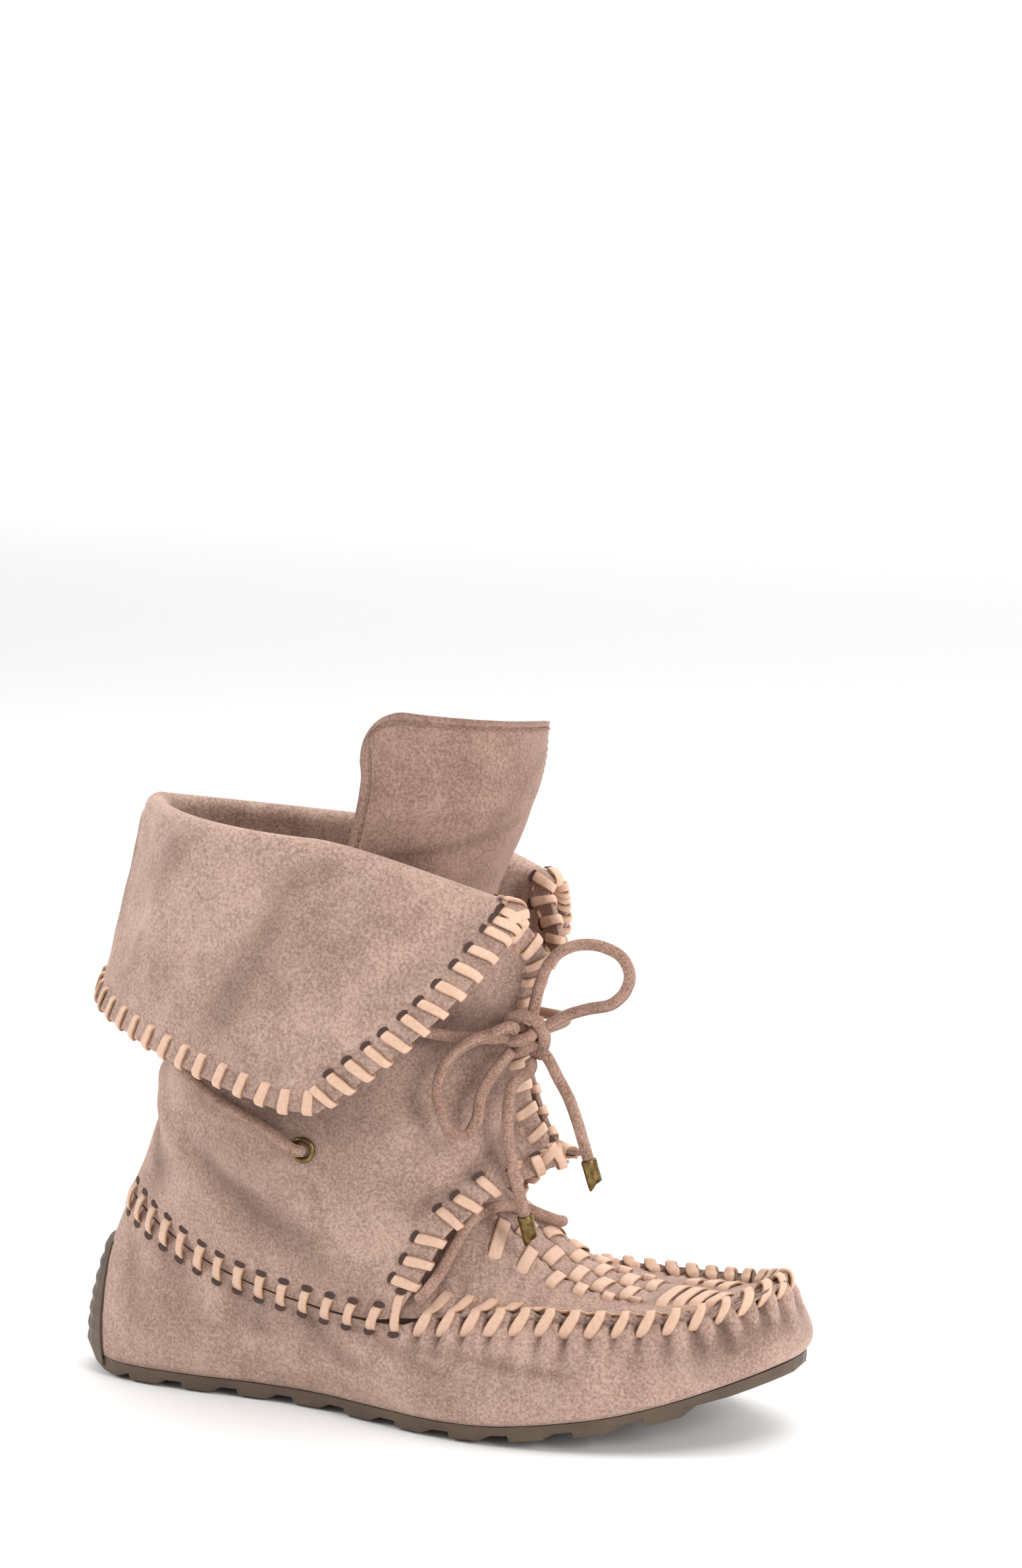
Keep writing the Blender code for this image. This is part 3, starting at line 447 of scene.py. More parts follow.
leg = dict(
    length=0.140,
    width=0.082,
    height=0.140,
    foot=0.036,
    wall=0.0018,
    innerSetback=0.048,
    innerDroop=0.075,
    roll=0.0032,
    tongueWall=0.0020,
    tongueRadius=0.0365,
    tongueTop=0.239,
    seatTurn=172,  # degrees that the lower edge runs to on each side of the heel
    seatSetback=0.0009,  # of the lower edge inside the seam
    seatGaps=2.6,  # gaps that the lower edge stands above the seam
    seatBlend=0.008,
    innerFlapShare=0.92,  # of the near flap's width
    shaftRows=np.array([
        # back, front, outer, inner, gap, back height, side height, front height, back pinch
        (-0.738, 0.340, 0.500, 0.450, 0.065, 0.370, 0.230, 0.400, 1.00),
        (-0.710, 0.276, 0.505, 0.455, 0.075, 0.500, 0.420, 0.520, 1.00),
        (-0.702, 0.255, 0.490, 0.440, 0.060, 0.660, 0.600, 0.660, 1.05),
        (-0.712, 0.290, 0.500, 0.445, 0.080, 0.860, 0.800, 0.775, 1.10),
        (-0.712, 0.328, 0.525, 0.440, 0.115, 1.040, 0.985, 0.870, 1.20),
        (-0.705, 0.278, 0.540, 0.430, 0.165, 1.165, 1.130, 0.940, 1.30),
    ]),
    flapRows=np.array([
        # along, side, height of the near flap's free lower edge
        (0.022, 0.540, 0.276), (0.096, 0.494, 0.396), (0.129, 0.445, 0.468), (0.179, 0.390, 0.518),
        (0.210, 0.345, 0.554), (0.289, 0.240, 0.605), (0.364, 0.085, 0.628),
    ]),
    tongueRows=np.array([
        # height share, front, radius share, outer turn, inner turn
        (0.440, 0.104, 1.05, 70, 42), (0.560, 0.090, 1.05, 80, 39), (0.711, 0.118, 1.02, 95, 39),
        (0.820, 0.194, 1.00, 100, 34), (0.900, 0.244, 1.00, 105, 30), (1.000, 0.258, 0.99, 110, 27),
    ]),
)


def shaftBottom(a):
    # On the collar seam behind the corner, on the flap's own curve ahead of it, blended over 8 mm
    rows = leg["flapRows"] * np.array([leg["length"], leg["width"], leg["height"]])
    side = np.sign(a)
    back, front = seamLine(0.0)[0] + 0.5 * leg["wall"], rows[-1, 0]
    reach = np.radians(leg["seatTurn"])
    x = back + (front - back) * (1 - np.cos(np.abs(a) * reach)) / (1 - np.cos(reach))
    turns = np.linspace(0, 0.75, 301)
    turn = np.interp(x, seamLine(turns)[:, 0], turns)
    turn = np.where(side < 0, turn, 2 - turn)
    up = np.array([0, 0, leg["seatGaps"] * last["gap"]])
    behind = seamLine(turn) - outwardOf(turn, featherLine) * leg["seatSetback"] + up
    along = np.maximum(x, rows[0, 0])
    width, height = smoothThrough(rows[:, 0], rows[:, 1], along), smoothThrough(rows[:, 0], rows[:, 2], along)
    ahead = np.stack([x, side * width * np.where(side > 0, leg["innerFlapShare"], 1.0), height], -1)
    share = np.clip((x - rows[0, 0] + leg["seatBlend"]) / leg["seatBlend"], 0, 1)[:, None]
    return behind * (1 - share) + ahead * share


def shaftLevel(row, a):
    # x = back + reach (1 - cos t), y = half |sin t|^pinch, z from three heights by cos t
    back, front, outer, inner, gap, rear, flank, fore, pinch = row
    front = front - leg["innerSetback"] * (a > 0)
    back, front, gap = back * leg["length"], front * leg["length"], gap * leg["length"]
    half = leg["width"] * np.where(a < 0, outer, inner)
    limit = np.pi - np.arcsin(gap / half)
    angle = np.abs(a) * limit
    x = back + (front - back) / (1 - np.cos(limit)) * (1 - np.cos(angle))
    y = np.sign(a) * half * np.abs(np.sin(angle)) ** np.where(angle < 0.5 * np.pi, pinch, 1.0)
    ahead, behind = np.clip(-np.cos(angle), 0, 1) ** 1.5, np.clip(np.cos(angle), 0, 1) ** 1.2
    z = flank + (rear - flank) * behind + (fore - flank) * ahead
    z = z - leg["innerDroop"] * (a > 0) * np.sin(angle) * np.clip(flank - 0.6, 0, 1)
    return np.stack([x, y, z * leg["height"] + leg["foot"]], -1)


def shaftSheet(a, rises):
    # Curve up through the seven levels at each place a; gives a grid [rise, a, 3]
    a = np.asarray(a, float)
    levels = np.array([shaftBottom(a)] + [shaftLevel(row, a) for row in leg["shaftRows"]])
    flat = smoothThrough(np.linspace(0, 1, 7), levels.reshape(7, -1), np.atleast_1d(np.asarray(rises, float)))
    return flat.reshape(-1, len(a), 3)


cuffSetup = dict(
    hemTurn=98,  # degrees that the hem runs to on each side of the back
    hemBack=-0.1215,
    hemReach=0.0935,
    hemHalfWidth=0.063,
    hemHeight=0.111,
    hemRise=0.025,  # of the hem at the back
    sway=(0.0035, 0.012, 0.004),  # of the cuff's middle: forward at the back, sideways, up
    frontSway=(0.010, 0.003),  # at the front edges: forward, down
)


def cuffOut(ridge):
    along = np.gradient(ridge, axis=0)
    return unit(np.stack([-along[:, 1], along[:, 0], 0 * along[:, 0]], -1))


def cuffHem(a):
    # x = back + reach (1 - cos t), y = half width sin t, z raised by the rise times cos t behind
    c = cuffSetup
    angle = np.abs(a) * np.radians(c["hemTurn"])
    x = c["hemBack"] + c["hemReach"] * (1 - np.cos(angle))
    y = np.sign(a) * c["hemHalfWidth"] * np.sin(angle)
    return np.stack([x, y, c["hemHeight"] + c["hemRise"] * np.maximum(np.cos(angle), 0)], -1)


def cuffSheet(a, falls):
    # Straight from the roll to the hem, with a sway of sin(pi fall)
    ridge = shaftSheet(a, 1.0)[0]
    start = ridge + cuffOut(ridge) * 2 * leg["roll"]
    falls = np.asarray(falls, float)[:, None, None]
    edge = np.abs(a)
    behind, beside, above = cuffSetup["sway"]
    forward, down = cuffSetup["frontSway"]
    forwards = behind * (1 - edge) ** 2 + forward * edge**6
    sway = np.stack([forwards, np.sign(a) * beside * edge**2, above - down * edge**6], -1)
    return start + (cuffHem(a) - start) * falls + sway * np.sin(np.pi * falls)


def foldField(across, down, folds):
    # Each fold is a line from place to place: depth exp(-(gap to the line / width)^2), faded at its ends
    total = np.zeros(np.broadcast(across, down).shape)
    for x0, y0, x1, y1, width, depth in folds:
        run = np.array([x1 - x0, y1 - y0])
        t = ((across - x0) * run[0] + (down - y0) * run[1]) / (run @ run)
        off = ((across - x0) * run[1] - (down - y0) * run[0]) / np.sqrt(run @ run)
        ends = np.exp(-(np.maximum(np.abs(t - 0.5) - 0.35, 0) / 0.18) ** 2)
        total += depth * np.exp(-((off / width) ** 2)) * ends
    return total


# Ribbon and tube makers


def ribbonPiece(name, paths, sides, halfWidth, thickness, material, seed=0, waist=0.12):
    # Each band: its centre line plus side w |cos|^0.45 and face t |sin|^0.8: flat, with soft round edges
    stitches, steps = paths.shape[:2]
    around = 12
    along = unit(np.gradient(paths, axis=1))
    sides = unit(sides - along * np.sum(sides * along, -1, keepdims=True))
    faces = np.cross(along, sides)
    random = np.random.default_rng(seed)
    width = halfWidth * random.uniform(0.9, 1.08, (stitches, 1, 1, 1))
    angle = np.linspace(0, 2 * np.pi, around, endpoint=False)
    wide = np.sign(np.cos(angle)) * np.abs(np.cos(angle)) ** 0.45
    tall = np.sign(np.sin(angle)) * np.abs(np.sin(angle)) ** 0.8
    belly = 1 - waist * np.cos(np.linspace(0, 2 * np.pi, steps))[None, :, None, None] ** 2
    ring = paths[:, :, None] + sides[:, :, None] * (width * belly * wide[:, None])
    ring = ring + faces[:, :, None] * (0.5 * thickness * tall[:, None])
    one = gridFaces(steps, around, closed=True)
    caps = np.array([[0, 11, 10, 9], [0, 9, 8, 7], [0, 7, 6, 5], [0, 5, 4, 3], [0, 3, 2, 1]])
    one = np.concatenate([one, caps, caps[:, ::-1] + (steps - 1) * around])
    joined = (one[None] + (np.arange(stitches) * steps * around)[:, None, None]).reshape(-1, 4)
    raw = np.clip((np.abs(wide) - 0.82) / 0.16, 0, 1) * np.clip(1 - np.abs(tall) * 0.3, 0, 1)
    piece = meshObject(name, ring.reshape(-1, 3), joined, material)
    tone = np.broadcast_to(raw, (stitches, steps, around)) * random.uniform(0.6, 1.0, (stitches, 1, 1))
    addAttribute(piece, "shade", tone)
    return piece


def discPiece(name, centres, along, normals, size, material):
    # Flat ellipses just above the leather, drawn out along the stitch: painted shadow inside each punched
    # hole
    around = 12
    angle = np.linspace(0, 2 * np.pi, around, endpoint=False)[:, None]
    across = unit(np.cross(normals, along))
    along = np.cross(across, normals)
    ring = centres[:, None] + size[0] * along[:, None] * np.cos(angle)
    ring = ring + size[1] * across[:, None] * np.sin(angle)
    quads = np.array([[0, 1, 2, 3], [0, 3, 4, 5], [0, 5, 6, 7], [0, 7, 8, 9], [0, 9, 10, 11]])
    faces = (quads[None] + around * np.arange(len(centres))[:, None, None]).reshape(-1, 4)
    return meshObject(name, ring.reshape(-1, 3), faces, material)


def tubePoints(route, spacing=1.0 * mm):
    route = np.asarray(route, float)
    at = lengthAlong(route)
    return smoothThrough(at, route, np.linspace(0, at[-1], max(8, int(at[-1] / spacing))))


cordHint = np.array([0.35, -0.80, 0.45])  # sections start square to this, so the sewn groove stays in place


def tubePiece(name, route, material, radius, around=20, seam=0.35 * mm, seamTurn=0.9):
    # Circle carried along the line, with one narrow sewn groove down its length and both ends closed
    path = tubePoints(route)
    along = unit(np.gradient(path, axis=0))
    across = unit(np.cross(along, cordHint))
    face = np.cross(across, along)
    angle = np.linspace(0, 2 * np.pi, around, endpoint=False)
    groove = seam * np.exp(-(((angle - seamTurn * np.pi) / 0.22) ** 2))
    wave = 0.06 * mm * np.sin(lengthAlong(path)[:, None] / (1.7 * mm) * 2 * np.pi)
    size = radius - groove[None] + wave * (groove[None] > 0.05 * mm)
    ends = np.minimum(np.arange(len(path)), np.arange(len(path))[::-1])
    size = size * np.clip(ends, 0.02, 1)[:, None]
    spokes = across[:, None] * np.cos(angle)[:, None] + face[:, None] * np.sin(angle)[:, None]
    points = path[:, None] + size[..., None] * spokes
    shade = np.broadcast_to(0.7 * groove / seam, points.shape[:2])
    return gridPiece(name, points, material, closed=True, shade=shade), path


print("forms ready")

# Cords: the drawcord's runs, the instep tie, the bow's loops and tails

cordSetup = dict(
    radius=2.0 * mm,
    lift=2.9 * mm,  # of the cord's middle above the shaft's face
    rearEyelet=(0.54, 0.320),
    frontEyelet=(0.62, 0.600),
    eyeletHeight=1.2 * mm,
    knotCentre=np.array([0.0408, -0.0201, 0.1323]),
    knotRadius=6.6 * mm,
    backRun=[(-1, 0.35, 0.392), (-1, 0.27, 0.430), (-1, 0.18, 0.470), (-1, 0.09, 0.495), (-1, 0.04, 0.500),
             (1, 0.04, 0.500), (1, 0.09, 0.495), (1, 0.18, 0.470), (1, 0.27, 0.430), (1, 0.35, 0.392)],
    frontRun=[(0.74, 0.588, 0.6), (0.80, 0.572, 1.0), (0.85, 0.562, 1.4)],
    tie=[(0.078, -0.93), (0.100, -0.88), (0.122, -0.80), (0.134, -0.70), (0.155, -0.48), (0.190, -0.27),
         (0.232, -0.06),
         (0.262, 0.12), (0.274, 0.30), (0.262, 0.50), (0.215, 0.70), (0.140, 0.84), (0.088, 0.915)],
    loopLow=[(0.0325, -0.0318, 0.1345), (0.0265, -0.0358, 0.1322), (0.0215, -0.0385, 0.1275),
             (0.0180, -0.0405, 0.1190),
             (0.0190, -0.0410, 0.1100), (0.0230, -0.0400, 0.1025), (0.0268, -0.0385, 0.1018),
             (0.0297, -0.0365, 0.1065),
             (0.0307, -0.0345, 0.1150), (0.0335, -0.0315, 0.1215)],
    loopHigh=[(0.0470, -0.0235, 0.1510), (0.0505, -0.0250, 0.1580), (0.0570, -0.0262, 0.1638),
              (0.0635, -0.0270, 0.1658),
              (0.0712, -0.0280, 0.1655), (0.0772, -0.0280, 0.1625), (0.0797, -0.0278, 0.1570),
              (0.0780, -0.0270, 0.1515),
              (0.0735, -0.0260, 0.1470), (0.0640, -0.0240, 0.1440), (0.0560, -0.0222, 0.1410)],
    tailLow=[(0.0400, -0.0300, 0.1180), (0.0390, -0.0315, 0.1100), (0.0388, -0.0305, 0.1000),
             (0.0400, -0.0275, 0.0860),
             (0.0410, -0.0260, 0.0800), (0.0423, -0.0252, 0.0735)],
    tailHigh=[(0.0535, -0.0235, 0.1200), (0.0572, -0.0238, 0.1140), (0.0600, -0.0238, 0.1070),
              (0.0625, -0.0236, 0.0990),
              (0.0640, -0.0235, 0.0940)],
)


def shaftFrame(a, rise):
    near = shaftSheet(np.array([a, a + 0.01]), [rise, rise + 0.01])
    return near[0, 0], unit(np.cross(near[1, 0] - near[0, 0], near[0, 1] - near[0, 0]))


def onShaft(a, rise, lift):
    point, normal = shaftFrame(a, rise)
    return point + normal * (0.5 * leg["wall"] + lift)


def intoEyelet(place, side, away):
    # Up out of the hole, over the ring and down to the shaft's face on the side it leaves by
    a, rise = place
    centre, normal = shaftFrame(side * a, rise)
    beside = shaftFrame(side * (a + away[0]), rise + away[1])[0] - centre
    beside = unit(beside - normal * (beside @ normal))
    face = centre + normal * (0.5 * leg["wall"] + last["gap"])
    over = cordSetup["eyeletHeight"] + cordSetup["radius"] + last["gap"]
    high, mid = over + 0.7 * mm, over + 0.4 * mm
    steps = [(0.6 * mm, 0), (2.0 * mm, 0), (mid, 1.6 * mm), (high, 5.2 * mm), (cordSetup["lift"], 10.5 * mm)]
    return [face + normal * up + beside * along for up, along in steps]


def knotExit(direction, reach=0.0):
    away = cordSetup["knotRadius"] + last["gap"] + reach
    return cordSetup["knotCentre"] + unit(np.array(direction, float)) * away


def nodeName(cordName):
    # loopLow in the scene is loop_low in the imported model
    return cordName.replace("L", "_l").replace("H", "_h")


def cordRoutes():
    c = cordSetup
    back = intoEyelet(c["rearEyelet"], -1, (-0.1, 0.05))
    back += [onShaft(side * a, rise, c["lift"]) for side, a, rise in c["backRun"]]
    back += intoEyelet(c["rearEyelet"], 1, (-0.1, 0.05))[::-1]
    near = intoEyelet(c["frontEyelet"], -1, (0.1, -0.01))
    near += [onShaft(-a, rise, c["lift"] + more * mm) for a, rise, more in c["frontRun"]]
    near += [knotExit((-0.75, -0.75, 0.05), 0.0035), knotExit((-0.75, -0.75, 0.05), -0.003)]
    far = intoEyelet(c["frontEyelet"], 1, (0.1, -0.01))
    far += [onShaft(a, rise, c["lift"] + more * mm) for a, rise, more in c["frontRun"]]
    far += [knotExit((0.12, 1.0, 0.02), reach) for reach in (0.020, 0.0075, 0.0)]
    places = np.array(c["tie"])
    x, across = places[:, 0] * leg["length"], places[:, 1]
    point = apronPoint(x, across)
    normal = unit(np.cross(apronPoint(x + 0.001, across) - point, apronPoint(x, across + 0.02) - point))
    tie = point + normal * (c["radius"] + 1.3 * mm)
    return dict(drawcord_back=back, drawcord_near=near, drawcord_far=far, instep_tie=tie)


for cordName, route in cordRoutes().items():
    piece, path = tubePiece(cordName.replace("_", "") + "Cord", route, cordSuede, cordSetup["radius"])
    finishPiece(piece, "suede_cord", cordName)

loopEnds = dict(
    loopLow=((-0.20, -1.0, 0.55), (-0.42, -0.85, -0.60)),
    loopHigh=((0.35, -0.2, 1.0), (1.0, -0.2, 0.55)),
)
for cordName, (start, finish) in loopEnds.items():
    route = [knotExit(start), knotExit(start, 0.003)] + cordSetup[cordName]
    route = route + [knotExit(finish, 0.003), knotExit(finish)]
    piece, path = tubePiece(cordName, route, cordSuede, cordSetup["radius"])
    finishPiece(piece, "suede_cord", nodeName(cordName))

tailEnds = dict(tailLow=(0.35, -0.35, -1.0), tailHigh=(1.0, -0.4, -0.6))


def agletPiece(name, end, along):
    # Tube about the cord's end, round and then pressed to a slant: each row is turned about its line
    radius, length = 2.6 * mm, 11.5 * mm
    pressedFrom, pressedLength, pressedShare = 0.006, 0.005, 0.12
    across = unit(np.cross(along, cordHint))
    face = np.cross(across, along)
    rows = np.array([
        # height, size, slant
        (0.0, 0.80, 0), (0.0, 0.93, 0), (0.0003, 1.0, 0), (0.0009, 1.03, 0), (0.0014, 1.03, 0),
        (0.0018, 1.0, 0),
        (0.0060, 1.0, 0.0001), (0.0088, 0.99, 0.0006), (length - 0.0016, 0.95, 0.0016),
        (length - 0.0012, 0.90, 0.0020), (length - 0.0011, 0.80, 0.0020), (length - 0.0028, 0.74, 0.0018),
        (length - 0.0045, 0.70, 0.0012), (length - 0.0046, 0.02, 0.001),
    ])
    angle = np.linspace(0, 2 * np.pi, 40, endpoint=False)
    height = rows[:, 0:1] + rows[:, 2:3] * (np.cos(angle) - 1)
    flat = np.clip((rows[:, 0:1] - pressedFrom) / pressedLength, 0, 1) * pressedShare
    points = end + height[..., None] * along
    points = points + (radius * rows[:, 1:2] * np.cos(angle))[..., None] * across
    points = points + (radius * rows[:, 1:2] * (1 - flat) * np.sin(angle))[..., None] * face
    return gridPiece(name, points, brass, closed=True)


tailInAglet = 1.8 * mm
for cordName, start in tailEnds.items():
    route = [knotExit(start), knotExit(start, 0.003)] + cordSetup[cordName]
    along = unit(np.array(route[-1]) - np.array(route[-2]))
    end = np.array(route[-1])
    route = route + [tuple(end + along * tailInAglet)]
    piece, path = tubePiece(cordName, route, cordSuede, cordSetup["radius"])
    finishPiece(piece, "suede_cord", nodeName(cordName))
    tipName = cordName.replace("tail", "aglet")
    tip = agletPiece(tipName, end + along * last["gap"], along)
    finishPiece(tip, "antique_brass", nodeName(tipName))

# Knot: cord wraps about the crossing, each a table of (right, up, towards the viewer) in mm from its centre

knotWraps = [
    [(-6.5, 2.0, 0.5), (-6.0, 6.0, 2.5), (-1.0, 8.0, 3.8), (3.5, 6.0, 5.0), (6.0, 1.5, 5.0),
    (5.2, -3.0, 3.6), (1.5, -6.0, 1.0)],
    [(-7.5, -1.5, 1.0), (-3.5, -0.5, 4.2), (1.0, 1.0, 5.0), (3.0, 3.0, 2.5), (4.0, 7.0, -1.0)],
    [(-5.0, -5.5, 0.0), (-2.0, -4.0, 3.2), (1.5, -2.2, 4.0), (4.5, -4.5, 1.5), (5.0, -7.0, -1.0)],
    [(-3.0, 3.5, -2.0), (0.0, 2.0, 0.8), (3.0, 0.0, 0.6), (4.5, -3.0, -2.0)],
]
viewTurn = 0.384  # radians, the azimuth that the wraps were read at
knotCordRadius = 2.1 * mm
viewRight = np.array([np.cos(viewTurn), np.sin(viewTurn), 0.0])
viewBack = np.array([np.sin(viewTurn), -np.cos(viewTurn), 0.0])
for number, wrap in enumerate(knotWraps):
    right, up, back = (np.array(wrap) * mm).T[..., None]
    route = cordSetup["knotCentre"] + right * viewRight + up * [0, 0, 1] + back * viewBack
    piece, path = tubePiece("knotWrap" + str(number), route, cordSuede, knotCordRadius)
    finishPiece(piece, "suede_cord", *(["knot"] if number == 0 else []))
print("cords and knot made")

# Eyelets: rolled brass rings

eyeletSetup = dict(
    ringRadius=3.55 * mm,
    tubeHalfWidth=0.95 * mm,
    tubeMiddle=0.35 * mm,
    tubeHalfHeight=0.85 * mm,
)


def eyeletPiece(name, place, side):
    # Torus flattened on the leather, its tube an ellipse between the hole and the rim
    e = eyeletSetup
    centre, normal = shaftFrame(side * place[0], place[1])
    across = unit(np.cross(normal, [0.0, 0.3, 1.0]))
    up = np.cross(normal, across)
    base = centre + normal * (0.5 * leg["wall"] + last["gap"])
    angle = np.linspace(0, 2 * np.pi, 56, endpoint=False)
    tube = np.linspace(0, 2 * np.pi, 16, endpoint=False)[:, None]
    radius = e["ringRadius"] + e["tubeHalfWidth"] * np.cos(tube) + 0 * angle
    height = np.maximum(e["tubeMiddle"] + e["tubeHalfHeight"] * np.sin(tube) + 0 * angle, 0.0)
    spokes = across * np.cos(angle)[..., None] + up * np.sin(angle)[..., None]
    points = base + radius[..., None] * spokes + height[..., None] * normal
    points = np.concatenate([points, points[:1]])
    return gridPiece(name, points, brass, closed=True, flip=True)


for side, sideName in ((-1, "near"), (1, "far")):
    for place, placeName in ((cordSetup["rearEyelet"], "rear"), (cordSetup["frontEyelet"], "front")):
        piece = eyeletPiece(sideName + placeName.title() + "Eyelet", place, side)
        finishPiece(piece, "antique_brass", "eyelet_" + sideName + "_" + placeName)
print("eyelets made")

# Wrap: one sheet from the sole round to the seam, puckered where the lacing draws it in

wrapSetup = dict(
    columns=860,
    rows=50,
    wall=1.6 * mm,
    wallDrop=58 * mm,  # along the wall from the seam down to the sole
    ridge=2.6 * mm,
    ridgeOver=0.9 * mm,  # the wrap's own edge above the apron's
    stitchGap=8.4 * mm,
    collarGap=9.0 * mm,
    pucker=4.0 * mm,
    holeRise=0.90,
    folds=[
        # turn, rise to turn, rise, width, depth in mm: the foot's soft creases at the instep and heel
        (0.40, 0.92, 0.47, 0.40, 0.022, -1.1), (0.45, 0.95, 0.55, 0.45, 0.020, -0.8),
        (0.33, 0.95, 0.36, 0.55, 0.025, -0.8), (0.22, 0.90, 0.30, 0.45, 0.030, -0.7),
        (0.14, 0.85, 0.20, 0.35, 0.025, -0.6), (0.52, 0.75, 0.66, 0.50, 0.030, -0.6),
        (-0.40, 0.92, -0.47, 0.40, 0.022, -1.0), (-0.28, 0.90, -0.33, 0.50, 0.028, -0.7),
        (-0.52, 0.80, -0.62, 0.50, 0.030, -0.6),
    ],
)


def evenTurns(line, start, finish, gap):
    # Turns of evenly spaced stitches along a line, by its measured length
    turns = np.linspace(start, finish, 3000)
    run = lengthAlong(line(turns))
    count = int(round(run[-1] / gap))
    return np.interp(np.linspace(0, run[-1], count + 1), run, turns)


throatTurn = float(turnAtX(leg["flapRows"][0, 0] * leg["length"] + 0.004))
apronTurns = evenTurns(seamLine, throatTurn + 0.012, 2 - throatTurn - 0.012, wrapSetup["stitchGap"])
collarTurns = evenTurns(seamLine, -throatTurn + 0.008, throatTurn - 0.008, wrapSetup["collarGap"])


def wrapSurface(turns, rises):
    # Smooth wall, then pushed in along its normal by grooves that run down from each stitch and swell between
    points = wrapWall(turns[None], rises[:, None])
    normals = gridNormals(points, closed=True)
    run = lengthAlong(seamLine(np.concatenate([turns, turns[:1] + 2])))
    total, run = run[-1], run[:-1]
    random = np.random.default_rng(11)
    down = (1 - rises)[:, None] * wrapSetup["wallDrop"]
    push = np.zeros(points.shape[:2])
    for turn in apronTurns:
        at = np.interp(turn, turns, run)
        toe = np.exp(-(((turn - 1.0) / 0.34) ** 2))
        reach = (11 + 15 * toe * random.uniform(0.6, 1.2)) * mm
        gap = np.mod(run - at + total / 2, total) - total / 2
        drift = random.normal(0, 0.05)
        wide = (1.25 * mm + 0.055 * down) * (1 + 0.35 * toe)
        hollow = np.exp(-(((gap[None] - drift * down) / wide) ** 2)) * np.exp(-((down / reach) ** 1.5))
        push -= wrapSetup["pucker"] * (0.85 + 0.45 * toe) * random.uniform(0.75, 1.15) * hollow
    ahead = np.clip((np.minimum(turns, 2 - turns) - throatTurn) / 0.05, 0, 1)[None]
    toe = np.exp(-(((turns - 1.0) / 0.30) ** 2))[None]
    push += ahead * (0.9 + 0.9 * toe) * mm * np.exp(-(((down - 7 * mm) / (10 * mm)) ** 2))
    push += 0.55 * mm * softNoise(points, 38 * mm, 4) * np.sin(np.pi * np.clip(rises, 0, 1))[:, None] ** 0.7
    belowSeam = np.clip(down / (6 * mm), 0, 1)
    push += 0.22 * mm * softNoise(points, 13 * mm, 5) * belowSeam * (rises[:, None] > 0.05)
    across = np.where(turns > 1, turns - 2, turns)[None]
    push += foldField(across, rises[:, None] + 0 * across, wrapSetup["folds"]) * mm
    return points + normals * push[..., None], normals, push


wrapTurns = np.linspace(0, 2, wrapSetup["columns"], endpoint=False)
wrapRises = np.linspace(0, 1, wrapSetup["rows"])
wrapPoints, wrapNormals, wrapPush = wrapSurface(wrapTurns, wrapRises)
# The edge stands up beside the apron and dips at every stitch
ahead = np.clip((np.minimum(wrapTurns, 2 - wrapTurns) - throatTurn) / 0.02, 0, 1)
ridgeRun = lengthAlong(seamLine(np.concatenate([wrapTurns, [2.0]])))[:-1]
stitchRun = np.interp(apronTurns, wrapTurns, ridgeRun)
nearest = np.min(np.abs(ridgeRun[:, None] - stitchRun[None]), axis=1)
scallop = np.exp(-((nearest / (2.6 * mm)) ** 2))
ridgeTop = (wrapSetup["ridge"] + wrapSetup["ridgeOver"]) * ahead * (1 - 0.38 * scallop)
inwards = -outwardOf(wrapTurns, seamLine)
# Each step is how far inwards and the share of the height
ridgeSteps = ((0.0, 0.45), (0.15 * mm, 0.85), (0.7 * mm, 1.0), (1.3 * mm, 1.0))
ridgeRows = [wrapPoints[-1] + inwards * (inn * ahead)[:, None]
             + (ridgeTop * up)[:, None] * np.array([0, 0, 1]) for inn, up in ridgeSteps]
wrapGrid = np.concatenate([wrapPoints, ridgeRows])
wrapShade = np.zeros(wrapGrid.shape[:2])
wrapShade[-3:] = 0.35 * ahead
byTheSole = 0.35 * np.exp(-((wrapRises * 58 / 2.0) ** 2))[:, None]
wrapShade[:wrapSetup["rows"]] = np.clip(-wrapPush / (2.6 * mm), 0, 0.55) + byTheSole
wrapPiece = gridPiece("wrap", wrapGrid, suede, closed=True, shade=wrapShade)
giveWall(wrapPiece, wrapSetup["wall"], -1)
finishPiece(wrapPiece, "suede", "upper")
print("wrap made")

# Apron: one sheet between the ridges, slit in three lines where the cross strips are woven through

apronSetup = dict(
    rows=300,
    columns=151,
    wall=1.6 * mm,
    slitGap=12.5 * mm,
    slitDepth=0.9 * mm,
    slitHalfWidth=0.8 * mm,
    weaveFrom=0.024,
    weaveTo=0.082,
    quiltDepth=0.35 * mm,
    pitch=4.65 * mm,
    stripRise=1.0 * mm,
    stripHalf=2.3 * mm,
    stripThickness=0.9 * mm,
    toeStripHalf=2.45 * mm,
    toeStripThickness=1.0 * mm,
    evenRows=[31.0, 40.5, 49.8, 58.8, 68.0, 77.0],  # mm, where the strips cross the outer and inner fields
    oddRows=[35.8, 45.3, 54.3, 63.4, 72.5],
    toeStrips=[
        # x, y to x, y in mm
        (87, -17.5, 88.5, 6), (93, -17.5, 95.3, 3), (98.6, -17.5, 101.6, -2), (104, -18, 108, -6),
        (88.9, 8, 89.6, 14), (96.0, 5, 97.4, 13), (102.5, 0, 105, 10),
    ],
)


def stripReach(x):
    # Outer limit of the weave: 27 mm at the throat, narrowing to 13 mm at x = 80 mm
    return np.interp(x, [0.028, 0.050, 0.080], [27 * mm, 22 * mm, 13 * mm])


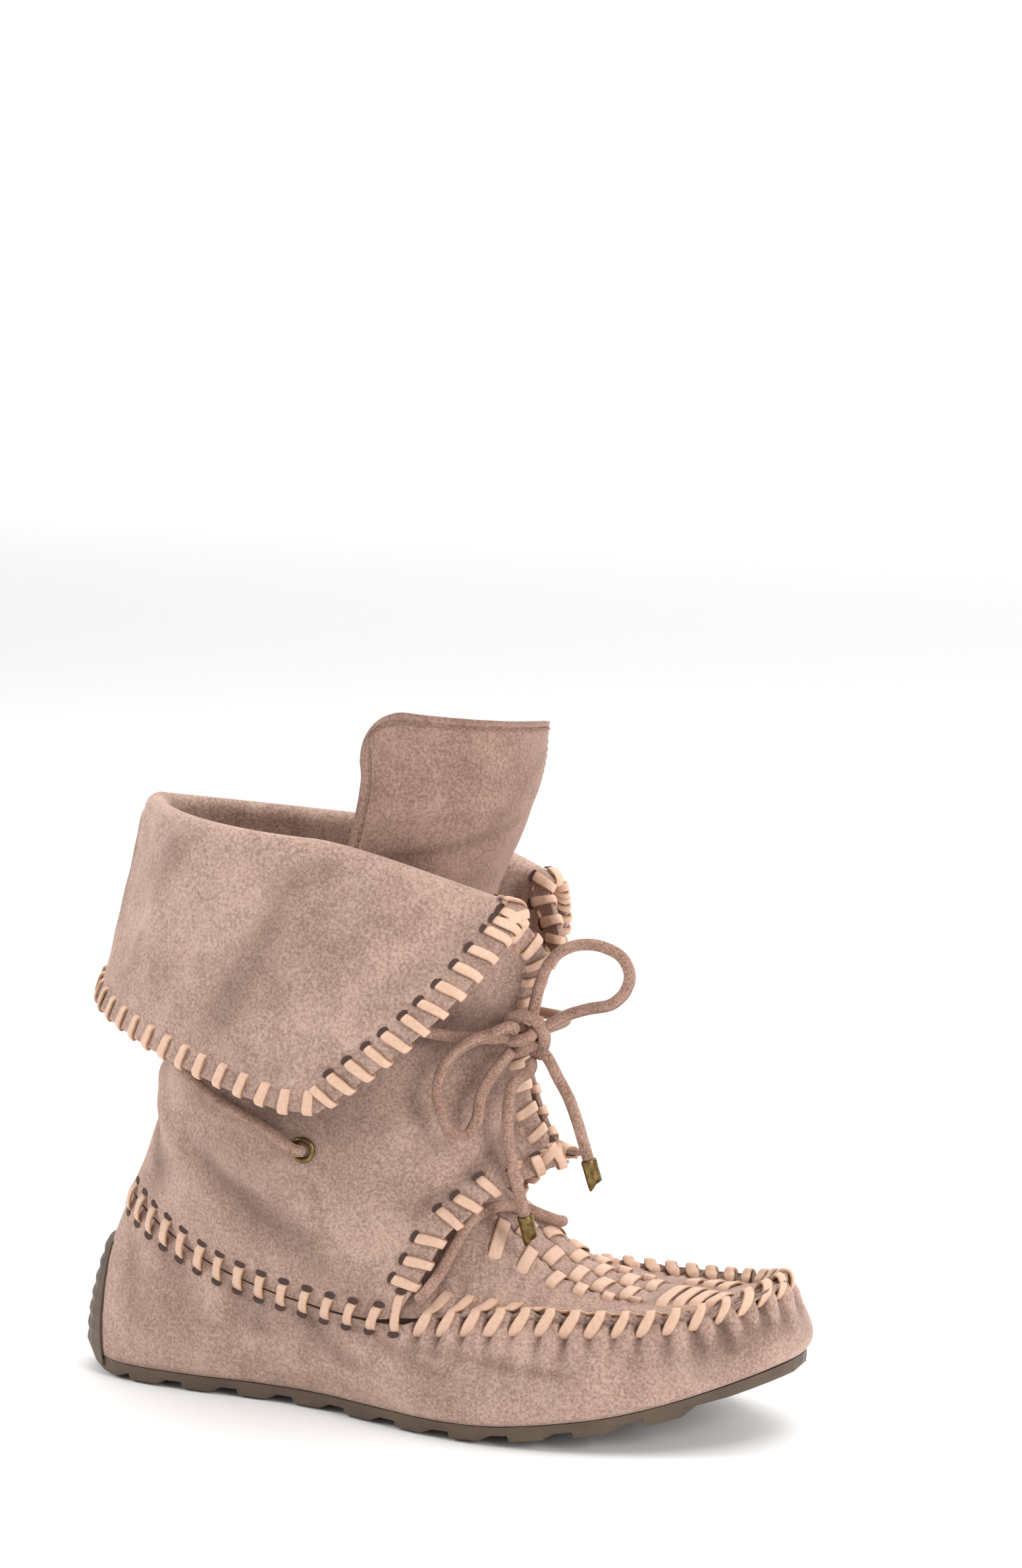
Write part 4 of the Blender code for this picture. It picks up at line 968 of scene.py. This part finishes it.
apronStart = leg["flapRows"][0, 0] * leg["length"] - 0.010
apronX = np.linspace(apronStart, seamLine(0.9999)[0] - 0.0006, apronSetup["rows"])
evenAcross = np.linspace(-1, 1, apronSetup["columns"])
apronAcross = np.sign(evenAcross) * (1 - (1 - np.abs(evenAcross)) ** 1.25)
apronPoints = apronPoint(apronX[:, None], apronAcross[None], ridge=wrapSetup["ridge"] * 0.9)
apronNormals = gridNormals(apronPoints)
apronNormals *= np.sign(apronNormals[..., 2:3])
alongApron, acrossApron = apronPoints[..., 0], apronPoints[..., 1]
slitFade = (np.clip((alongApron - apronSetup["weaveFrom"]) / 0.004, 0, 1)
            * np.clip((apronSetup["weaveTo"] - alongApron) / 0.004, 0, 1))
slit = sum(np.exp(-(((acrossApron - line * apronSetup["slitGap"]) / apronSetup["slitHalfWidth"]) ** 2))
           for line in (-1, 0, 1)) * slitFade
checker = (np.sin(alongApron / apronSetup["pitch"] * 2 * np.pi)
           * np.cos(acrossApron / apronSetup["slitGap"] * np.pi))
quilt = apronSetup["quiltDepth"] * checker * slitFade
seamWidth = np.abs(seamLine(2 - turnAtX(apronX))[:, 1] - seamLine(turnAtX(apronX))[:, 1])
edgeGap = (1 - np.abs(apronAcross))[None] * 0.5 * seamWidth[:, None]
# The apron puckers in line with the lace's inner holes, 5 mm ahead of each stitch
stitchX = seamLine(apronTurns)[:, 0]
gapNear, gapFar = (np.min(np.abs(apronX[:, None] - stitchX[side][None] - 5 * mm), axis=1)[:, None]
                   for side in (apronTurns < 1, apronTurns > 1))
onFar = acrossApron > 0.5 * (apronPoints[:, :1, 1] + apronPoints[:, -1:, 1])
apronPucker = np.exp(-((np.where(onFar, gapFar, gapNear) / (1.9 * mm)) ** 2))
apronPucker = apronPucker * np.exp(-((edgeGap / (9 * mm)) ** 2)) * (edgeGap > 0.4 * mm)
apronSwell = 0.4 * mm * softNoise(apronPoints, 22 * mm, 8) * np.clip(edgeGap / (5 * mm), 0, 1)
apronPush = -apronSetup["slitDepth"] * slit + quilt - 0.8 * mm * apronPucker + apronSwell
apronPoints = apronPoints + apronNormals * apronPush[..., None]
apronShade = np.clip(0.85 * slit + 0.35 * apronPucker + 0.30 * np.exp(-((edgeGap / (1.0 * mm)) ** 2)), 0, 1)
apronPiece = gridPiece("apron", apronPoints, suede, shade=apronShade, flip=True)
giveWall(apronPiece, apronSetup["wall"], -1)
finishPiece(apronPiece, "suede")
print("apron made")

# Woven strips: short floats over the long strips, each dipping into a slit at both ends


def stripPaths(ends, steps=15):
    # Straight on the apron from one end to the other, lifted by rise (1 - 1.9 |2t-1|^5), so its ends are sunk
    ends = np.asarray(ends, float) * mm
    t = np.linspace(0, 1, steps)
    x = ends[:, 0:1] + (ends[:, 2:3] - ends[:, 0:1]) * t
    y = ends[:, 1:2] + (ends[:, 3:4] - ends[:, 1:2]) * t
    on = apronAt(x, y)
    normal = unit(np.cross(apronAt(x + 0.001, y) - on, apronAt(x, y + 0.001) - on))
    lift = apronSetup["stripRise"] * (1 - np.abs(2 * t - 1) ** 5 * 1.9) + 0.1 * mm
    run = unit(np.gradient(on, axis=1))
    return on + normal * lift[None, :, None], np.cross(normal, run)


random = np.random.default_rng(3)
ends = []
for x in apronSetup["evenRows"]:
    reach = stripReach(x * mm) / mm
    tilt = random.normal(0, 0.35, 4)
    ends += [(x + tilt[0], -reach, x + tilt[1], -12.2), (x + tilt[2], 0.4, x + tilt[3], min(12.2, reach))]
for x in apronSetup["oddRows"]:
    reach = stripReach(x * mm) / mm
    tilt = random.normal(0, 0.35, 4)
    ends += [(x + tilt[0], -12.2, x + tilt[1], -0.4)]
    if reach > 15:
        ends += [(x + tilt[2], 12.6, x + tilt[3], reach)]
paths, sides = stripPaths(ends)
strips = ribbonPiece("crossStrips", paths, sides, apronSetup["stripHalf"], apronSetup["stripThickness"],
                     blush, seed=5, waist=0.0)
finishPiece(strips, "suede")
paths, sides = stripPaths(apronSetup["toeStrips"], steps=19)
toeStrips = ribbonPiece("toeStrips", paths, sides, apronSetup["toeStripHalf"],
                        apronSetup["toeStripThickness"], blush, seed=6, waist=0.03)
finishPiece(toeStrips, "suede")
print("weave made")

# Shaft and cuff: one sheet up the shaft, over the roll and down to the hem

shaftSetup = dict(
    columns=380,
    shaftRowCount=62,
    rollRows=8,
    cuffRowCount=50,
    middle=np.array([-0.04, 0, 0]),  # a place inside the leg, to turn the normals outwards
    hemDraw=0.5 * mm,
    shaftFolds=[
        # a, rise to a, rise, width, depth in mm
        (-0.95, 0.30, -0.70, 0.16, 0.030, -1.6), (-0.90, 0.42, -0.60, 0.30, 0.035, 1.1),
        (-0.55, 0.10, -0.30, 0.22, 0.040, -1.4),
        (-0.35, 0.12, -0.12, 0.30, 0.045, 1.4), (-0.20, 0.08, -0.04, 0.26, 0.035, -1.6),
        (-0.10, 0.36, 0.10, 0.30, 0.050, 1.5),
        (-0.22, 0.44, -0.02, 0.38, 0.035, -1.3), (-0.50, 0.42, -0.25, 0.36, 0.040, -1.1),
        (-0.80, 0.62, -0.55, 0.50, 0.040, -1.2),
        (-0.75, 0.20, -0.62, 0.60, 0.040, 1.0), (-0.45, 0.55, -0.38, 0.20, 0.040, 0.9),
        (0.20, 0.12, 0.45, 0.24, 0.040, -1.4),
        (0.15, 0.40, 0.40, 0.34, 0.045, 1.2), (0.55, 0.15, 0.85, 0.35, 0.040, -1.4),
        (0.60, 0.50, 0.85, 0.62, 0.040, -1.1),
    ],
    shaftPatches=[
        # a, rise, width, height, amount
        (-0.56, 0.44, 0.14, 0.15, 0.34), (-0.40, 0.22, 0.12, 0.12, 0.24),
        (-0.70, 0.62, 0.20, 0.12, 0.30), (-0.30, 0.62, 0.30, 0.10, 0.22),
        (-0.92, 0.45, 0.08, 0.30, 0.20), (0.45, 0.40, 0.20, 0.18, 0.28), (0.75, 0.60, 0.20, 0.15, 0.26),
        (0.20, 0.60, 0.20, 0.10, 0.2),
    ],
    cuffPatches=[(-0.74, 0.42, 0.10, 0.22, 0.20), (-0.50, 0.80, 0.12, 0.12, 0.10),
    (-0.30, 0.35, 0.08, 0.20, 0.10), (0.50, 0.50, 0.15, 0.25, 0.12)],
    cuffFolds=[
        # a, fall to a, fall, width, depth in mm
        (-0.62, 0.05, -0.70, 0.85, 0.035, -1.1), (-0.48, 0.02, -0.52, 0.60, 0.030, 1.0),
        (-0.34, 0.00, -0.38, 0.75, 0.035, -1.2),
        (-0.20, 0.00, -0.16, 0.70, 0.035, 1.1), (-0.08, 0.00, -0.10, 0.85, 0.030, -1.3),
        (-0.85, 0.08, -0.80, 0.80, 0.035, 1.0),
        (-0.60, 0.45, -0.25, 0.55, 0.090, 0.9), (0.10, 0.00, 0.14, 0.80, 0.035, -1.2),
        (0.35, 0.00, 0.38, 0.75, 0.035, 1.1),
        (0.55, 0.05, 0.62, 0.80, 0.035, -1.1), (0.80, 0.05, 0.82, 0.80, 0.035, -1.0),
    ],
)


def legSheet(a, shaftRises, rollAngles, cuffFalls):
    # The shaft's sheet, a half circle over the top, and the cuff's sheet
    shaft = shaftSheet(a, shaftRises)
    ridge = shaftSheet(a, 1.0)[0]
    out = cuffOut(ridge)
    up = np.array([0, 0, 1.0])
    roll = np.stack([ridge + out * leg["roll"] * (1 - np.cos(t)) + up * leg["roll"] * np.sin(t)
                     for t in rollAngles])
    return np.concatenate([shaft, roll, cuffSheet(a, cuffFalls)])


def napPatches(across, down, patches):
    # Dark patches, partly nap lying another way and partly painted shade below the cuff and on its shaded
    # side: amount exp(-(across/width)^2 - (down/height)^2)
    total = np.zeros(np.broadcast(across, down).shape)
    for x, y, width, height, amount in patches:
        total += amount * np.exp(-(((across - x) / width) ** 2) - ((down - y) / height) ** 2)
    return total


legA = np.linspace(-1, 1, shaftSetup["columns"])
rises = np.linspace(0, 1, shaftSetup["shaftRowCount"])
angles = np.linspace(0, np.pi, shaftSetup["rollRows"] + 2)[1:-1]
falls = np.linspace(0, 1, shaftSetup["cuffRowCount"])
legPoints = legSheet(legA, rises, angles, falls)
shaftPart, cuffPart = slice(0, len(rises)), slice(-len(falls), None)
legNormals = gridNormals(legPoints)
fromMiddle = (legPoints[shaftPart] - shaftSetup["middle"]) * [1, 1, 0]
legNormals *= np.sign(np.sum(legNormals[shaftPart] * fromMiddle))
push = np.zeros(legPoints.shape[:2])
shaftFade = (np.clip(rises / 0.05, 0, 1) * np.clip((1 - rises) / 0.08, 0, 1))[:, None]
cuffFade = np.clip(falls / 0.04, 0, 1)[:, None]
for part, down, fade, folds, swells in (
    # each swell is depth, size in mm and the seed of its random draws
    (shaftPart, rises, shaftFade, shaftSetup["shaftFolds"], ((0.9, 42, 21), (0.35, 15, 22))),
    (cuffPart, falls, cuffFade, shaftSetup["cuffFolds"], ((0.9, 46, 31), (0.3, 14, 32))),
):
    push[part] += fade * foldField(legA[None], down[:, None], folds) * mm
    for depth, size, seed in swells:
        push[part] += fade * depth * mm * softNoise(legPoints[part], size * mm, seed)
# The hem is drawn in a little at every whip stitch
hemRun = lengthAlong(cuffHem(legA))
hemNear = np.exp(-(((1 - falls[:, None]) * 75 * mm / (7 * mm)) ** 2))
push[cuffPart] -= shaftSetup["hemDraw"] * hemNear * (0.5 + 0.5 * np.cos(hemRun / (8.6 * mm) * 2 * np.pi))
legPoints = legPoints + legNormals * push[..., None]
# Painted shade: darker in the folds' hollows, and in patches below the cuff and on its shaded side, mixed
# with dark nap
legShade = np.clip(-push / (3.2 * mm), 0, 0.4)
legShade[shaftPart] += napPatches(legA[None], rises[:, None], shaftSetup["shaftPatches"])
legShade[cuffPart] += napPatches(legA[None], falls[:, None], shaftSetup["cuffPatches"])
legShade = np.clip(legShade, 0, 0.6)
legPiece = gridPiece("shaftAndCuff", legPoints, suede, shade=legShade)
giveWall(legPiece, leg["wall"], 0)
finishPiece(legPiece, "suede", "shaft")
print("shaft and cuff made")

# Tongue: a tall curved panel, its edge stitched

tongueSetup = dict(
    columns=200,
    rows=220,
    stitchGap=2.6 * mm,
    stitchLength=2.1 * mm,
    threadRadius=0.32 * mm,
    stitchRow=60,  # the side stitches start this far up the panel
    folds=[
        # share, rise to share, rise, width, depth in mm
        (0.15, 0.62, 0.75, 0.70, 0.020, -1.2), (0.10, 0.74, 0.60, 0.78, 0.022, 0.9),
        (0.30, 0.52, 0.80, 0.50, 0.022, 1.0),
    ],
)


def tongueSheet(share, rises):
    # Curve up from the apron through six arcs, each reach (cos t, sin t); one top corner is round
    base = apronPoint(leg["flapRows"][0, 0] * leg["length"], -0.74 + 1.48 * share)
    base = base + np.array([-0.5 * leg["tongueWall"] - 0.004, 0, -0.5 * leg["tongueWall"]])
    levels = [base]
    for height, front, radius, outer, inner in leg["tongueRows"]:
        turn = np.radians(-outer + (outer + inner) * share)
        reach = leg["tongueRadius"] * radius
        z = np.full(len(share), height * leg["tongueTop"])
        if height == 1.0:
            corner = np.clip((0.20 - share) / 0.20, 0, 1)
            z = z - 0.009 * np.clip(share - 0.15, 0, 1) - 0.017 * (1 - np.sqrt(1 - corner**2))
        x = front * leg["length"] - reach * (1 - np.cos(turn))
        levels.append(np.stack([x, 0.003 * min(1, height) + reach * np.sin(turn), z], -1))
    flat = smoothThrough(np.linspace(0, 1, len(levels)), np.array(levels).reshape(len(levels), -1), rises)
    return flat.reshape(-1, len(share), 3)


share = np.linspace(0, 1, tongueSetup["columns"])
tongueRises = np.linspace(0, 1, tongueSetup["rows"])
tonguePoints = tongueSheet(share, tongueRises)
tongueNormals = gridNormals(tonguePoints)
tongueNormals *= np.sign(np.mean(tongueNormals[..., 0]))
tonguePush = 0.7 * mm * softNoise(tonguePoints, 40 * mm, 41)
tonguePush += 0.25 * mm * softNoise(tonguePoints, 12 * mm, 42)
tonguePush = tonguePush + foldField(share[None], tongueRises[:, None], tongueSetup["folds"]) * mm
tongueEdge = np.minimum(np.minimum(share, 1 - share)[None] * 75, (1 - tongueRises[:, None]) * 180)
stitchGroove = 0.45 * mm * np.exp(-(((tongueEdge - 3.0) / 0.8) ** 2))
tonguePush = tonguePush * np.clip(tongueEdge / 4, 0, 1) - stitchGroove
tonguePoints = tonguePoints + tongueNormals * tonguePush[..., None]
tongueShade = np.clip(-tonguePush / (3 * mm), 0, 0.35) + 0.3 * np.exp(-((tongueEdge / 0.8) ** 2))
tonguePiece = gridPiece("tonguePanel", tonguePoints, darkSuede, shade=tongueShade)
giveWall(tonguePiece, leg["tongueWall"], 0)
finishPiece(tonguePiece, "suede", "tongue")


def stitchLine(name, line, normals):
    # Short thread beads along a line, each a ribbon of seven steps that dips at its ends
    gap, radius = tongueSetup["stitchGap"], tongueSetup["threadRadius"]
    run = lengthAlong(line)
    middles = np.arange(gap, run[-1] - gap, gap)
    t = np.linspace(-0.5, 0.5, 7)
    at = middles[:, None] + t[None] * tongueSetup["stitchLength"]
    path = np.stack([np.interp(at, run, line[:, k]) for k in range(3)], -1)
    normal = unit(np.stack([np.interp(at, run, normals[:, k]) for k in range(3)], -1))
    path = path + normal * (radius * (0.9 - 4.5 * np.abs(t) ** 2.2))[None, :, None]
    side = np.cross(normal, unit(np.gradient(path, axis=1)))
    return ribbonPiece(name, path, side, radius, 1.6 * radius, thread)


inset, first = 8, tongueSetup["stitchRow"]
for name, rowPart, columnPart in (
    ("tongueStitchTop", -6, slice(inset, -inset)),
    ("tongueStitchOuter", slice(first, -6), inset),
    ("tongueStitchInner", slice(first, -6), -inset),
):
    for faceSide, sideName in ((1, ""), (-1, "Back")):
        facing = tongueNormals[rowPart, columnPart] * faceSide
        line = tonguePoints[rowPart, columnPart] + facing * (0.5 * leg["tongueWall"])
        finishPiece(stitchLine(name + sideName, line, facing), "suede")
print("tongue made")

# Whip lacing: a flat leather lace carried over an edge, from hole to hole

laceSetup = dict(
    half=1.85 * mm,
    thickness=1.15 * mm,
    reach=7.4 * mm,
    gap=8.5 * mm,
    slant=2.2 * mm,
    holeSize=(2.3 * mm, 1.3 * mm),  # along the edge, across it
)


def sampleAt(line, values, at):
    run = lengthAlong(line)
    return np.stack([np.interp(at, run, values[:, k]) for k in range(3)], -1)


def edgeFrames(rows):
    # Edge row, its inward direction from the row behind, and its direction along the edge
    edge, behind = rows
    along = unit(np.gradient(edge, axis=0))
    inward = behind - edge
    inward = unit(inward - along * np.sum(inward * along, -1, keepdims=True))
    return edge, inward, along


def laceOver(name, rows, outwardSign, at):
    # In the frame (along, inward, out): sunk in the outer hole, flat to the edge, bent round it, ends inside
    edge, inward, along = edgeFrames(rows)
    normal = unit(np.cross(along, inward)) * outwardSign
    place, inn, side, out = (sampleAt(edge, v, at) for v in (edge, inward, along, normal))
    inn, side, out = unit(inn), unit(side), unit(out)
    h = 0.5 * leg["wall"]
    t, reach = laceSetup["thickness"], laceSetup["reach"]
    flat = h + 0.5 * t
    table = np.array([
        # inward, out, along share
        (reach + 0.3 * mm, h - 1.2 * mm, 1.0), (reach + 0.1 * mm, flat - 0.3 * mm, 1.0),
        (reach - 0.9 * mm, flat + 0.25 * mm, 0.9), (0.68 * reach, flat + 0.35 * mm, 0.68),
        (0.40 * reach, flat + 0.30 * mm, 0.40), (0.12 * reach, flat + 0.20 * mm, 0.15),
        (-0.6 * mm, 0.55 * flat, 0.0), (-1.05 * mm, 0.0, -0.05), (-0.6 * mm, -0.55 * flat, -0.1),
        (0.12 * reach, -flat - 0.10 * mm, -0.15), (0.5 * reach, -flat - 0.15 * mm, -0.4),
        (reach - 0.8 * mm, -flat, -0.6), (reach + 0.1 * mm, -h + 1.0 * mm, -0.7),
    ])
    fine = smoothThrough(np.linspace(0, 1, len(table)), table, np.linspace(0, 1, 31))
    random = np.random.default_rng(len(name) * 7)
    lean = laceSetup["slant"] * random.uniform(0.8, 1.2, len(at))
    paths = (place[:, None] + inn[:, None] * fine[None, :, 0:1] + out[:, None] * fine[None, :, 1:2]
             + side[:, None] * (lean[:, None] * fine[None, :, 2])[..., None])
    sides = np.broadcast_to(side[:, None], paths.shape)
    finishPiece(ribbonPiece(name, paths, sides, laceSetup["half"], t, blush, seed=len(name)), "suede")
    holes = paths[:, 0] + (out * (1.55 * mm)) + inn * 0.8 * mm
    finishPiece(discPiece(name + "Holes", holes, side, out, laceSetup["holeSize"], holeShadow), "suede")


def evenAlong(line, gap, start=0.0, end=0.0):
    total = lengthAlong(line)[-1]
    count = max(1, int(round((total - start - end) / gap)))
    return np.linspace(start, total - end, count + 1)


# Cuff: the hem from corner to corner, then each front edge up to the roll
hemAt = evenAlong(legPoints[-1], laceSetup["gap"], 4 * mm, 4 * mm)
laceOver("hemLace", (legPoints[-1], legPoints[-6]), 1.0, hemAt)
cuffStart = len(rises)
for column, behind, sideName, sign in ((0, 7, "Near", -1.0), (-1, -8, "Far", 1.0)):
    rows = (legPoints[cuffStart:, column], legPoints[cuffStart:, behind])
    overTheRoll = np.arange(0.5, 15, 3.6) * mm
    at = np.concatenate([overTheRoll, evenAlong(rows[0], 7.8 * mm, 20.0 * mm, 6.0 * mm)])
    laceOver("cuffFrontLace" + sideName, rows, sign, at)
    rows = (legPoints[:cuffStart, column], legPoints[:cuffStart, behind])
    laceOver("flapFrontLace" + sideName, rows, sign, evenAlong(rows[0], 7.6 * mm, 8.0 * mm, 3.0 * mm))
# Flaps: the free lower edge from the collar corner to the point
free = legPoints[0, :, 0] > leg["flapRows"][0, 0] * leg["length"] + 0.002
for onSide, sideName in ((legA < 0, "Near"), (legA > 0, "Far")):
    chosen = np.nonzero(free & onSide)[0]
    rows = (legPoints[0, chosen], legPoints[4, chosen])
    laceOver("flapLowLace" + sideName, rows, -1.0, evenAlong(rows[0], 8.2 * mm, 3 * mm, 8 * mm))
print("edge lacing made")


def laceAcross(name, lows, highs, normals, alongs, lifts):
    # From the low hole to the high hole in a straight line, raised by a table of lifts along the way
    t = np.linspace(0, 1, 17)
    lift = smoothThrough(np.linspace(0, 1, len(lifts)), np.array(lifts) * mm, t)
    paths = lows[:, None] + (highs - lows)[:, None] * t[None, :, None]
    paths = paths + normals[:, None] * lift[None, :, None]
    sides = np.broadcast_to(alongs[:, None], paths.shape)
    lace = ribbonPiece(name, paths, sides, laceSetup["half"], laceSetup["thickness"], blush, seed=len(name))
    finishPiece(lace, "suede")
    across = unit(highs - lows)
    for ends, label, shift in ((lows, "Low", -0.5 * mm), (highs, "High", 0.5 * mm)):
        centres = ends + normals * 0.25 * mm + across * shift
        discs = discPiece(name + label + "Holes", centres, alongs, normals, laceSetup["holeSize"], holeShadow)
        finishPiece(discs, "suede")


# Collar: the lace holds the shaft's lower edge to the wrap's upper edge, leaning towards the heel behind

collarSetup = dict(
    lowRise=0.905,  # of the holes in the wrap
    lowOut=0.15 * mm,
    lean=0.012,  # in turns, at the heel
    highUp=4.6 * mm,  # of the holes in the shaft above its lower edge
    highOut=1.1 * mm,
    lifts=[-1.3, 0.3, 0.95, 1.15, 1.2, 1.15, 0.95, 0.3, -1.3],  # mm
)
turns = np.mod(collarTurns, 2)
signed = np.where(turns > 1, turns - 2, turns)
leanBack = np.where(signed < 0, 1, -1) * collarSetup["lean"] * (1 - 1.6 * np.abs(signed) / throatTurn)
footOut, seamOut = outwardOf(turns, featherLine), outwardOf(turns, seamLine)
lows = wrapWall(turns, collarSetup["lowRise"]) + footOut * collarSetup["lowOut"]
lowOut = unit(footOut * 0.85 + np.array([0, 0, 0.5]))
seamPlace = seamLine(np.mod(turns + leanBack, 2))
levelGap = np.linalg.norm(legPoints[0][None, :, :2] - seamPlace[:, None, :2], axis=-1)
nearestA = np.argmin(levelGap, axis=1)
upShaft = unit(legPoints[3, nearestA] - legPoints[0, nearestA])
highs = legPoints[0, nearestA] + upShaft * collarSetup["highUp"] + seamOut * collarSetup["highOut"]
alongs = unit(seamLine(np.mod(turns + 0.01, 2)) - seamLine(np.mod(turns - 0.01, 2)))
laceAcross("collarLace", lows, highs, unit(lowOut + seamOut), alongs, collarSetup["lifts"])

# Apron seam: from a hole in the wrap up over the ridge and down into the apron, leaning towards the toe

seamLace = dict(
    half=1.9 * mm,
    thickness=1.2 * mm,
    leanOver=3.4 * mm,  # towards the toe at the top of the ridge
    leanFar=0.024,  # in turns, at the inner hole
    overRidge=1.0 * mm,
    farIn=4.6 * mm,  # of the inner hole from the seam
    straightAtToe=0.12,  # turns about the toe where the lean fades
)
turns = apronTurns
toward = np.where(turns < 1, 1, -1) * np.clip(np.abs(turns - 1) / seamLace["straightAtToe"], 0.0, 1)
along = unit(seamLine(turns + 0.005) - seamLine(turns - 0.005))
wrapIndex = np.argmin(np.abs(wrapTurns[None] - turns[:, None]), axis=1)
holeRow = int(wrapSetup["holeRise"] * (wrapSetup["rows"] - 1))
low = wrapPoints[holeRow, wrapIndex] + wrapNormals[holeRow, wrapIndex] * 0.1 * mm
ridgeUp = np.array([0, 0, wrapSetup["ridge"] + seamLace["overRidge"]])
over = seamLine(turns) + toward[:, None] * along * seamLace["leanOver"] + ridgeUp
out = outwardOf(turns, seamLine)
inward = -out
far = seamLine(turns + toward * seamLace["leanFar"]) + inward * seamLace["farIn"]
far = apronAt(np.clip(far[:, 0], apronX[0], apronX[-1] - 0.002), far[:, 1])
up = np.array([0, 0, 1.0])
outAndUp = unit(out + 0.3 * up)
stations = np.stack([
    low - outAndUp * 1.2 * mm,
    low + outAndUp * 0.55 * mm,
    0.55 * low + 0.45 * over + out * 1.6 * mm,
    over + out * 0.9 * mm - up * 0.7 * mm,
    over + inward * 0.9 * mm + up * 0.35 * mm,
    0.62 * over + 0.38 * far + inward * 1.1 * mm + up * 0.1 * mm,
    far + up * 0.75 * mm,
    far + inward * 0.5 * mm - up * 0.9 * mm,
])
fine = smoothThrough(np.linspace(0, 1, 8), stations.reshape(8, -1), np.linspace(0, 1, 25))
fine = fine.reshape(25, -1, 3).transpose(1, 0, 2)
sides = np.broadcast_to(along[:, None], fine.shape)
apronLace = ribbonPiece("apronLace", fine, sides, seamLace["half"], seamLace["thickness"], blush, seed=9)
finishPiece(apronLace, "suede")
centres = low + outAndUp * 0.55 * mm - up * 0.8 * mm
facing = unit(out + 0.25 * up)
holes = discPiece("apronLaceHoles", centres, along, facing, laceSetup["holeSize"], holeShadow)
finishPiece(holes, "suede")
print("seam lacing made")

# CAD nodes that stay: the rubber sole and the insole
for name, material in (("outsole", rubber), ("insole", tanLeather)):
    node = bpy.data.objects[name]
    node.data.materials.clear()
    node.data.materials.append(material)

# Floor and light

stageSetup = dict(floor="#FFFFFF", keyPower=15, toePower=15, topPower=22, world=0.42)


def areaLight(name, place, aim, size, power):
    light = bpy.data.lights.new(name, "AREA")
    light.energy = power
    light.shape = "RECTANGLE"
    light.size = size[0]
    light.size_y = size[1]
    lamp = bpy.data.objects.new(name, light)
    bpy.context.scene.collection.objects.link(lamp)
    lamp.location = place
    lamp.rotation_euler = (Vector(aim) - Vector(place)).to_track_quat("-Z", "Y").to_euler()


floorMaterial, _, floorShader = startMaterial("paleStudioFloor")
setSockets(floorShader, {"Base Color": hexColour(stageSetup["floor"]), "Roughness": 0.8})
floorCorners = np.array([(-4, -4, 0), (4, -4, 0), (4, 4, 0), (-4, 4, 0)], float)
floor = meshObject("floor", floorCorners, [(0, 1, 2, 3)], floorMaterial, smooth=False)
backdropMaterial, _, backdropShader = startMaterial("whiteBackdrop")
setSockets(backdropShader, {"Emission Color": (1, 1, 1, 1), "Emission Strength": 1.0})
backdropCorners = np.array([(-6, 3.9, 0), (8, 3.9, 0), (8, 3.9, 6), (-6, 3.9, 6)], float)
backdrop = meshObject("backdrop", backdropCorners, [(0, 1, 2, 3)], backdropMaterial, smooth=False)
areaLight("key", (-1.45, -0.55, 0.95), (-0.02, 0, 0.12), (0.5, 0.9), stageSetup["keyPower"])
areaLight("top", (0.25, 0.25, 1.7), (0.05, 0, 0.0), (1.6, 1.6), stageSetup["topPower"])
areaLight("toeSide", (1.45, -0.75, 0.75), (0.05, 0, 0.1), (0.5, 0.9), stageSetup["toePower"])
world = bpy.data.worlds.new("studio")
world.use_nodes = True
setSockets(world.node_tree.nodes["Background"], {"Color": (1, 1, 1, 1), "Strength": stageSetup["world"]})
bpy.context.scene.world = world
bpy.context.scene.view_settings.view_transform = "Standard"

print("stage set")
